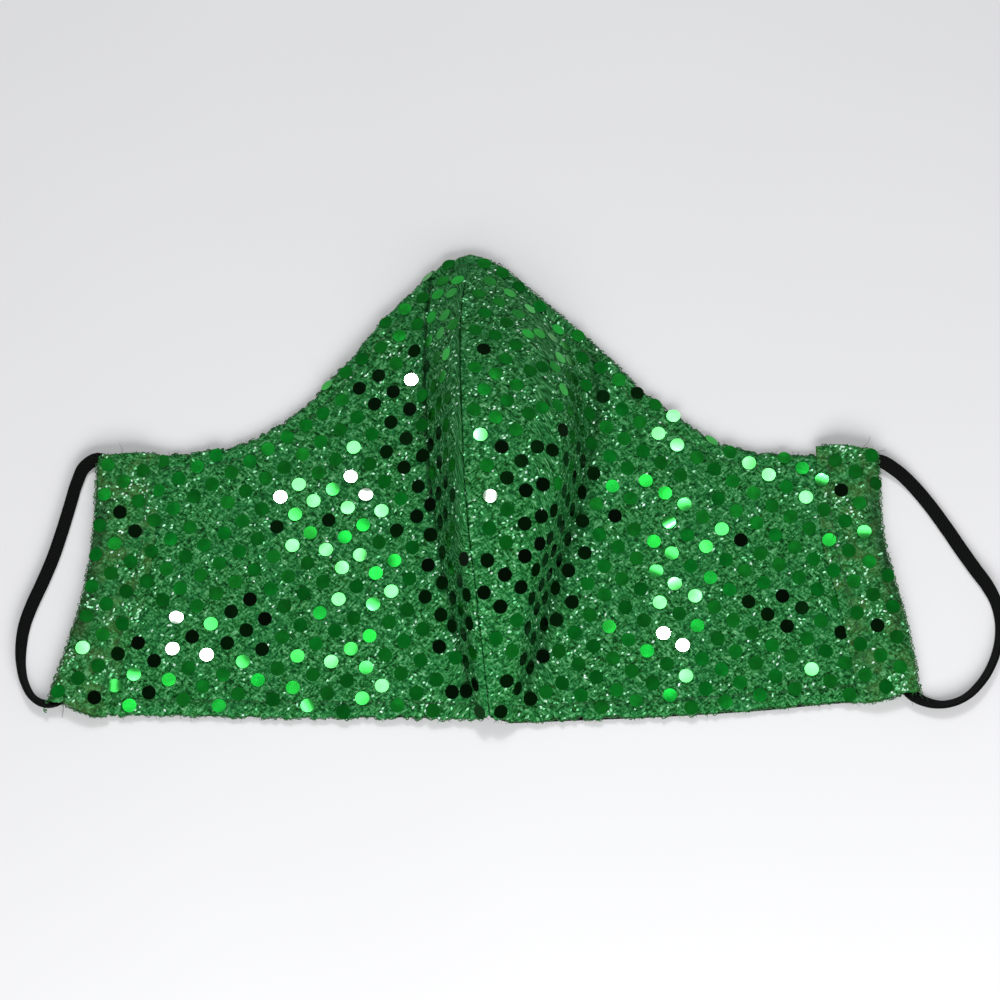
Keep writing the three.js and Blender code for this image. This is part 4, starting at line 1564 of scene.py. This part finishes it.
def casing_tube(label, casing):
    """One casing: a gathered flat tube with open ends."""
    section = casing_section(casing)
    bore = casing_bore(casing, section)
    length = casing.high[1] - casing.low[1]
    ends = [d / length for d in (0, 0.25 * MM, 0.6 * MM, 1.1 * MM, 1.8 * MM)]
    stations = stops(1.0, ends, ends, CASING_SPACING / length)
    outer = [casing_ring(casing, section, along, 1.0) for along in stations]
    inner = [casing_ring(casing, bore, along, 0.0) for along in stations]
    for rings in (outer, inner):
        for ring, (share, sink) in zip((rings[0], rings[1], rings[-1], rings[-2]), END_ROUNDING):
            middle = casing.height / 2
            ring[:, 2] = middle + (ring[:, 2] - middle) * (1 - share if rings is outer else 1 + sink)
    rings = outer + inner[::-1]
    faces = ring_faces(len(rings), len(section), closed=True)
    points = np.concatenate(rings)
    points[:, 2] = np.maximum(points[:, 2], OFF_FLOOR)
    a, b = fabric_map(label).to_cloth(points[:, 0], points[:, 1])
    section_run = np.tile(run_along(section[:, :2]), len(rings))
    uv = np.stack([np.where(points[:, 2] > 2 * MM, a, a + section_run), b], 1)
    distance = np.tile(section[:, 0] / casing.width, len(rings))
    along = np.concatenate([stations, stations[::-1]]).repeat(len(section))
    path = 0.93 - 0.16 * np.abs(along - 0.55) * 2
    worn = 0.75 + 0.25 * waves(points[:, 0], points[:, 1], 41, (5 * MM, 14 * MM))
    below = bell(distance - path, 0.13) * smoothstep(0.12, 0.3, along) * smoothstep(0.95, 0.75, along)
    return add_piece(
        f"casing_cloth_{label}", points, faces if SIDES[label] > 0 else faces[:, ::-1],
        finish_of("folded_knit"), uv=uv,
        attributes={"elastic_below": np.clip(below * worn, 0, 1)})


# ------------------------------------------------------------------ operators


class MASK_OT_stage(bpy.types.Operator):
    """Plain pale floor, soft studio lights and the camera"""

    bl_idname = "mask.stage"
    bl_label = "Floor, Lights and Camera"

    AIM = (3.4 * MM, -3.45 * MM, 0)
    LENS = 86.4             # focal length, millimetres
    FLOOR_REACH = 12.0      # from the middle of the floor to its edges
    LIGHTS = [
        # name, direction from the mask, distance, width, depth, brightness
        ("lamp", (-0.05, 0.575, 0.82), 1.30, 0.10, 0.10, 60.0),
        ("softbox", (-0.05, 0.575, 0.82), 1.32, 0.50, 0.50, 4.0),
        ("front_fill", (0.12, -0.80, 0.60), 0.58, 0.55, 0.30, 5.2),
    ]

    def execute(self, context):
        stage = context.scene.mask_stage
        self.add_floor(stage)
        self.add_camera(context.scene, stage)
        for light in self.LIGHTS:
            self.add_light(*light)
        world = bpy.data.worlds.new("plain_room")
        world.use_nodes = True
        background = world.node_tree.nodes["Background"]
        background.inputs["Color"].default_value = (0.97, 0.98, 1.0, 1)
        background.inputs["Strength"].default_value = stage.room_light
        context.scene.world = world
        context.scene.view_settings.view_transform = "Standard"
        return {"FINISHED"}

    def add_floor(self, stage):
        reach = self.FLOOR_REACH
        corners = [(-reach, -reach, 0), (reach, -reach, 0), (reach, reach, 0), (-reach, reach, 0)]
        mesh = bpy.data.meshes.new("floor")
        mesh.from_pydata(corners, [], [(0, 1, 2, 3)])
        mesh.materials.append(floor_material("pale_floor", tuple(stage.floor_colour)))
        floor = bpy.data.objects.new("floor", mesh)
        bpy.context.scene.collection.objects.link(floor)

    def add_camera(self, scene, stage):
        lens = bpy.data.cameras.new("camera")
        lens.lens = self.LENS
        camera = bpy.data.objects.new("camera", lens)
        up, away = math.sin(stage.camera_elevation), math.cos(stage.camera_elevation)
        camera.location = Vector(self.AIM) + stage.camera_distance * Vector((0, -away, up))
        camera.rotation_euler = (math.pi / 2 - stage.camera_elevation, 0, 0)
        scene.collection.objects.link(camera)
        scene.camera = camera

    def add_light(self, name, direction, distance, width, depth, brightness):
        lamp = bpy.data.lights.new(name, "AREA")
        lamp.shape = "RECTANGLE"
        lamp.size, lamp.size_y = width, depth
        lamp.energy = 4 * brightness * width * depth
        light = bpy.data.objects.new(name, lamp)
        away = Vector(direction).normalized()
        light.location = Vector(self.AIM) + distance * away
        light.rotation_euler = away.to_track_quat("Z", "Y").to_euler()
        light.visible_glossy = name != "front_fill"     # it lights the cloth, not the foil
        bpy.context.scene.collection.objects.link(light)


class MASK_OT_ear_loops(bpy.types.Operator):
    """Flat ribbed elastic through each casing and round the ear"""

    bl_idname = "mask.ear_loops"
    bl_label = "Ear Loops"

    def execute(self, context):
        elastic = context.scene.mask_elastic
        for label in SIDES:
            piece, line = ear_loop(label, elastic)
            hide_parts(f"ear_loop_{label}")
        return {"FINISHED"}


class MASK_OT_knit_halves(bpy.types.Operator):
    """The two halves of sequined knit, with their hems and the dip along the seam"""

    bl_idname = "mask.knit_halves"
    bl_label = "Knit Halves"

    def execute(self, context):
        for label, side in SIDES.items():
            half = knit_half(label)
            points, faces = shell(half.upper, half.lower, side)
            # painted_crease_shade darkens the knit along its creases as painted shade.
            piece = add_piece(
                f"knit_half_{label}", points, faces, finish_of("knit"),
                uv=cloth_uv(label, points),
                attributes={"painted_crease_shade": np.tile(half.shade.ravel(), 2)})
            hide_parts(f"outer_{label}")
        return {"FINISHED"}


class MASK_OT_linings(bpy.types.Operator):
    """The black woven lining under each half"""

    bl_idname = "mask.linings"
    bl_label = "Linings"

    def execute(self, context):
        for label, side in SIDES.items():
            sheet = Sheet(f"lining_{label}", side)
            edge = [0, 0.3 * MM, 0.9 * MM]
            height = sheet.along[-1] - sum(LINING_INSET[label])
            rows = LINING_INSET[label][0] + stops(height, edge, edge, LINING_SPACING)
            columns = stops(sheet.across[-1], edge, edge, LINING_SPACING)
            lower = sheet.read(columns, rows)
            normals = grid_normals(lower, side)
            upper = lower + normals * LINING_THICKNESS
            ripple = 0.12 * MM * waves(lower[..., 0], lower[..., 1], 51, (6 * MM, 15 * MM))
            lower = lower + normals * (0.1 * MM + ripple)[..., None]
            lower[..., 2] = np.maximum(lower[..., 2], OFF_FLOOR)
            points, faces = shell(upper, lower, side)
            piece = add_piece(
                f"lining_half_{label}", points, faces, finish_of("lining"),
                uv=cloth_uv(label, points))
            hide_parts(f"lining_{label}")
        return {"FINISHED"}


class MASK_OT_casings(bpy.types.Operator):
    """The folded casings at both ends, gathered on the elastic"""

    bl_idname = "mask.casings"
    bl_label = "Casings"

    def execute(self, context):
        for label in SIDES:
            piece = casing_tube(label, Casing(label))
            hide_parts(f"casing_{label}")
        return {"FINISHED"}


class MASK_OT_stitches(bpy.types.Operator):
    """Stitches along the hems and the casings"""

    bl_idname = "mask.stitches"
    bl_label = "Stitches"

    def execute(self, context):
        cloth = context.scene.mask_cloth
        for label in SIDES:
            half = knit_half(label)
            tree = surface_of(f"knit_half_{label}")
            hems = Stitches(STITCH_SHARE * cloth.stitch_pitch, STITCH_RADIUS)
            for edge, run in (("top", half.top_run), ("bottom", half.bottom_run)):
                hems.add_row(half.hem_line(edge, cloth.hem_width), run, tree, cloth.stitch_pitch)
            hems.join(f"hem_stitches_{label}", "thread", "sequined_knit")
            casing = Casing(label)
            ys = np.linspace(casing.low[1] + 1 * MM, casing.high[1] - 1 * MM, 90)
            line = np.array([(casing.inner_x(y) + casing.side * CASING_STITCHES, y, 0) for y in ys])
            row = Stitches(STITCH_SHARE * cloth.stitch_pitch, STITCH_RADIUS)
            tree = surface_of(f"casing_cloth_{label}")
            row.add_row(line, run_along(line), tree, cloth.stitch_pitch)
            row.join(f"casing_stitches_{label}", "thread", "casing_cloth")
        return {"FINISHED"}


class MASK_OT_sequins(bpy.types.Operator):
    """Round foil sequins in their slanting rows over the knit and the casings"""

    bl_idname = "mask.sequins"
    bl_label = "Sequins"

    CLEARANCES = (1.4 * MM, 1.3 * MM, 0.7 * MM)   # from the seam, the bottom and the top
    MISSING = 0.012

    def on_cover(self, casing, x, y, z):
        """Whether a sequin's middle is well on the upper layer of the casing."""
        distance = casing.side * (x - casing.inner_x(y))
        share = distance / casing.width
        bottom, top = casing.end_y(share, 1, False), casing.end_y(share, 1, True)
        inside = bottom + 0.7 * MM < y < top - 0.7 * MM
        return inside and distance < casing.width - 0.9 * MM and z > 2 * MM

    def execute(self, context):
        for number, label in enumerate(SIDES):
            half = knit_half(label)
            plan = fabric_map(label)
            dice = np.random.default_rng(60 + number)
            a, b = lattice_places(label, (-0.04, -0.09), (0.12, 0.09)).T
            x, y = plan.to_floor(a, b)
            kept = dice.random(len(x)) > self.MISSING
            x, y = x[kept], y[kept]
            casing = Casing(label)
            outward = casing.side * x
            on_casing = outward > casing.side * casing.inner_x(y) - 0.3 * MM
            panel = SequinField(f"sequins_{label}", surface_of(f"knit_half_{label}"), 70 + number)
            panel.settle(x[~on_casing], y[~on_casing])
            edges = (half.upper[0], half.upper[:, 0], half.upper[:, -1])
            for edge, clearance in zip(edges, self.CLEARANCES):
                panel.keep(distance_to_line(np.array(panel.places), edge) > clearance)
            panel.join("sequined_knit")
            cover = SequinField(
                f"casing_sequins_{label}", surface_of(f"casing_cloth_{label}"), 80 + number)
            cover.settle(x[on_casing], y[on_casing])
            cover.keep([self.on_cover(casing, *place) for place in cover.places])
            cover.join("casing_cloth")
        return {"FINISHED"}


class MASK_OT_flecks(bpy.types.Operator):
    """Glints of metallic yarn all over the knit"""

    bl_idname = "mask.flecks"
    bl_label = "Metallic Flecks"

    # name of the piece under them, share of the usual density, how strongly they cluster, slot
    FIELDS = [("knit_half", 0.8, 0.5, "sequined_knit"), ("casing_cloth", 3.6, 0.75, "casing_cloth")]
    RIDGE_LOW = np.array((-26, -56)) * MM
    RIDGE_HIGH = np.array((30, 44)) * MM

    def execute(self, context):
        density = context.scene.mask_sequins.flecks_per_square
        for number, label in enumerate(SIDES):
            for name, share, clustering, slot in self.FIELDS:
                piece = bpy.data.objects[f"{name}_{label}"]
                places = np.array([vertex.co for vertex in piece.data.vertices])
                low, high = places.min(axis=0)[:2], places.max(axis=0)[:2]
                dice = np.random.default_rng(90 + number)
                count = int(density * share * (high - low).prod() * 1e4)
                x, y = scattered(dice, count, low, high, clustering)
                if name == "knit_half":
                    low, high = np.maximum(low, self.RIDGE_LOW), np.minimum(high, self.RIDGE_HIGH)
                    count = int(density * (high - low).prod() * 1e4)
                    more_x, more_y = scattered(dice, count, low, high, clustering)
                    x, y = np.append(x, more_x), np.append(y, more_y)
                kind = "flecks" if name == "knit_half" else "casing_flecks"
                sequins = surface_of(f"sequins_{label}", f"casing_sequins_{label}")
                flecks(f"{kind}_{label}", surface_of(piece.name), sequins, x, y, 95 + number)
        return {"FINISHED"}


class MASK_OT_frayed_yarn(bpy.types.Operator):
    """Short fibres along the edges and loose threads at the corners"""

    bl_idname = "mask.frayed_yarn"
    bl_label = "Frayed Yarn"

    def execute(self, context):
        for number, label in enumerate(SIDES):
            dice = np.random.default_rng(100 + number)
            half = knit_half(label)
            middle = (half.upper + half.lower) / 2
            strands, loops = [], []
            for edge, inside in ((middle[:, -1], middle[:, -6]), (middle[:, 0], middle[:, 5])):
                outward = outward_from(edge, inside)
                strands += fringe(edge, outward, 420, dice, 1.5 * MM)
                loops += yarn_loops(edge, outward, 0.62 * MM, dice)
            casing = Casing(label)
            for line, outward in casing_edges(casing):
                strands += fringe(line, outward, 160, dice, 1.3 * MM)
                loops += yarn_loops(line, outward, 0.75 * MM, dice)
            for x, y, turn, length in LOOSE_THREADS[label]:
                start = (x * MM, y * MM, 0.9 * MM)
                heading = np.array((math.cos(math.radians(turn)), math.sin(math.radians(turn)), 0.05))
                strands.append(strand(start, heading, length * MM, 0.07 * MM, dice, steps=9, curl=0.3))
            join_strands(f"edge_fibres_{label}", strands, "yarn")
            join_strands(f"edge_loops_{label}", loops, "knit_yarn")
        return {"FINISHED"}


PROPERTY_GROUPS = {
    "mask_cloth": MaskClothSettings,
    "mask_sequins": MaskSequinSettings,
    "mask_elastic": MaskElasticSettings,
    "mask_stage": MaskStageSettings,
}
OPERATORS = (
    MASK_OT_stage,
    MASK_OT_ear_loops,
    MASK_OT_knit_halves,
    MASK_OT_linings,
    MASK_OT_casings,
    MASK_OT_stitches,
    MASK_OT_sequins,
    MASK_OT_flecks,
    MASK_OT_frayed_yarn,
)


class MASK_PT_sidebar(bpy.types.Panel):
    """Lists the pieces of the mask and their settings"""

    bl_label = "Face Mask"
    bl_idname = "MASK_PT_sidebar"
    bl_space_type = "VIEW_3D"
    bl_region_type = "UI"
    bl_category = "Face Mask"

    def draw(self, context):
        for operator in OPERATORS:
            self.layout.operator(operator.bl_idname)
        for name, group in PROPERTY_GROUPS.items():
            box = self.layout.box()
            settings = getattr(context.scene, name)
            for label in group.__annotations__:
                box.prop(settings, label)


def register():
    for group in PROPERTY_GROUPS.values():
        bpy.utils.register_class(group)
    for name, group in PROPERTY_GROUPS.items():
        setattr(bpy.types.Scene, name, PointerProperty(type=group))
    for operator in OPERATORS:
        bpy.utils.register_class(operator)
    bpy.utils.register_class(MASK_PT_sidebar)


def unregister():
    bpy.utils.unregister_class(MASK_PT_sidebar)
    for operator in reversed(OPERATORS):
        bpy.utils.unregister_class(operator)
    for name, group in reversed(PROPERTY_GROUPS.items()):
        delattr(bpy.types.Scene, name)
        bpy.utils.unregister_class(group)


def main():
    register()
    for operator in OPERATORS:
        family, name = operator.bl_idname.split(".")
        getattr(getattr(bpy.ops, family), name)()


if __name__ == "__main__":
    main()
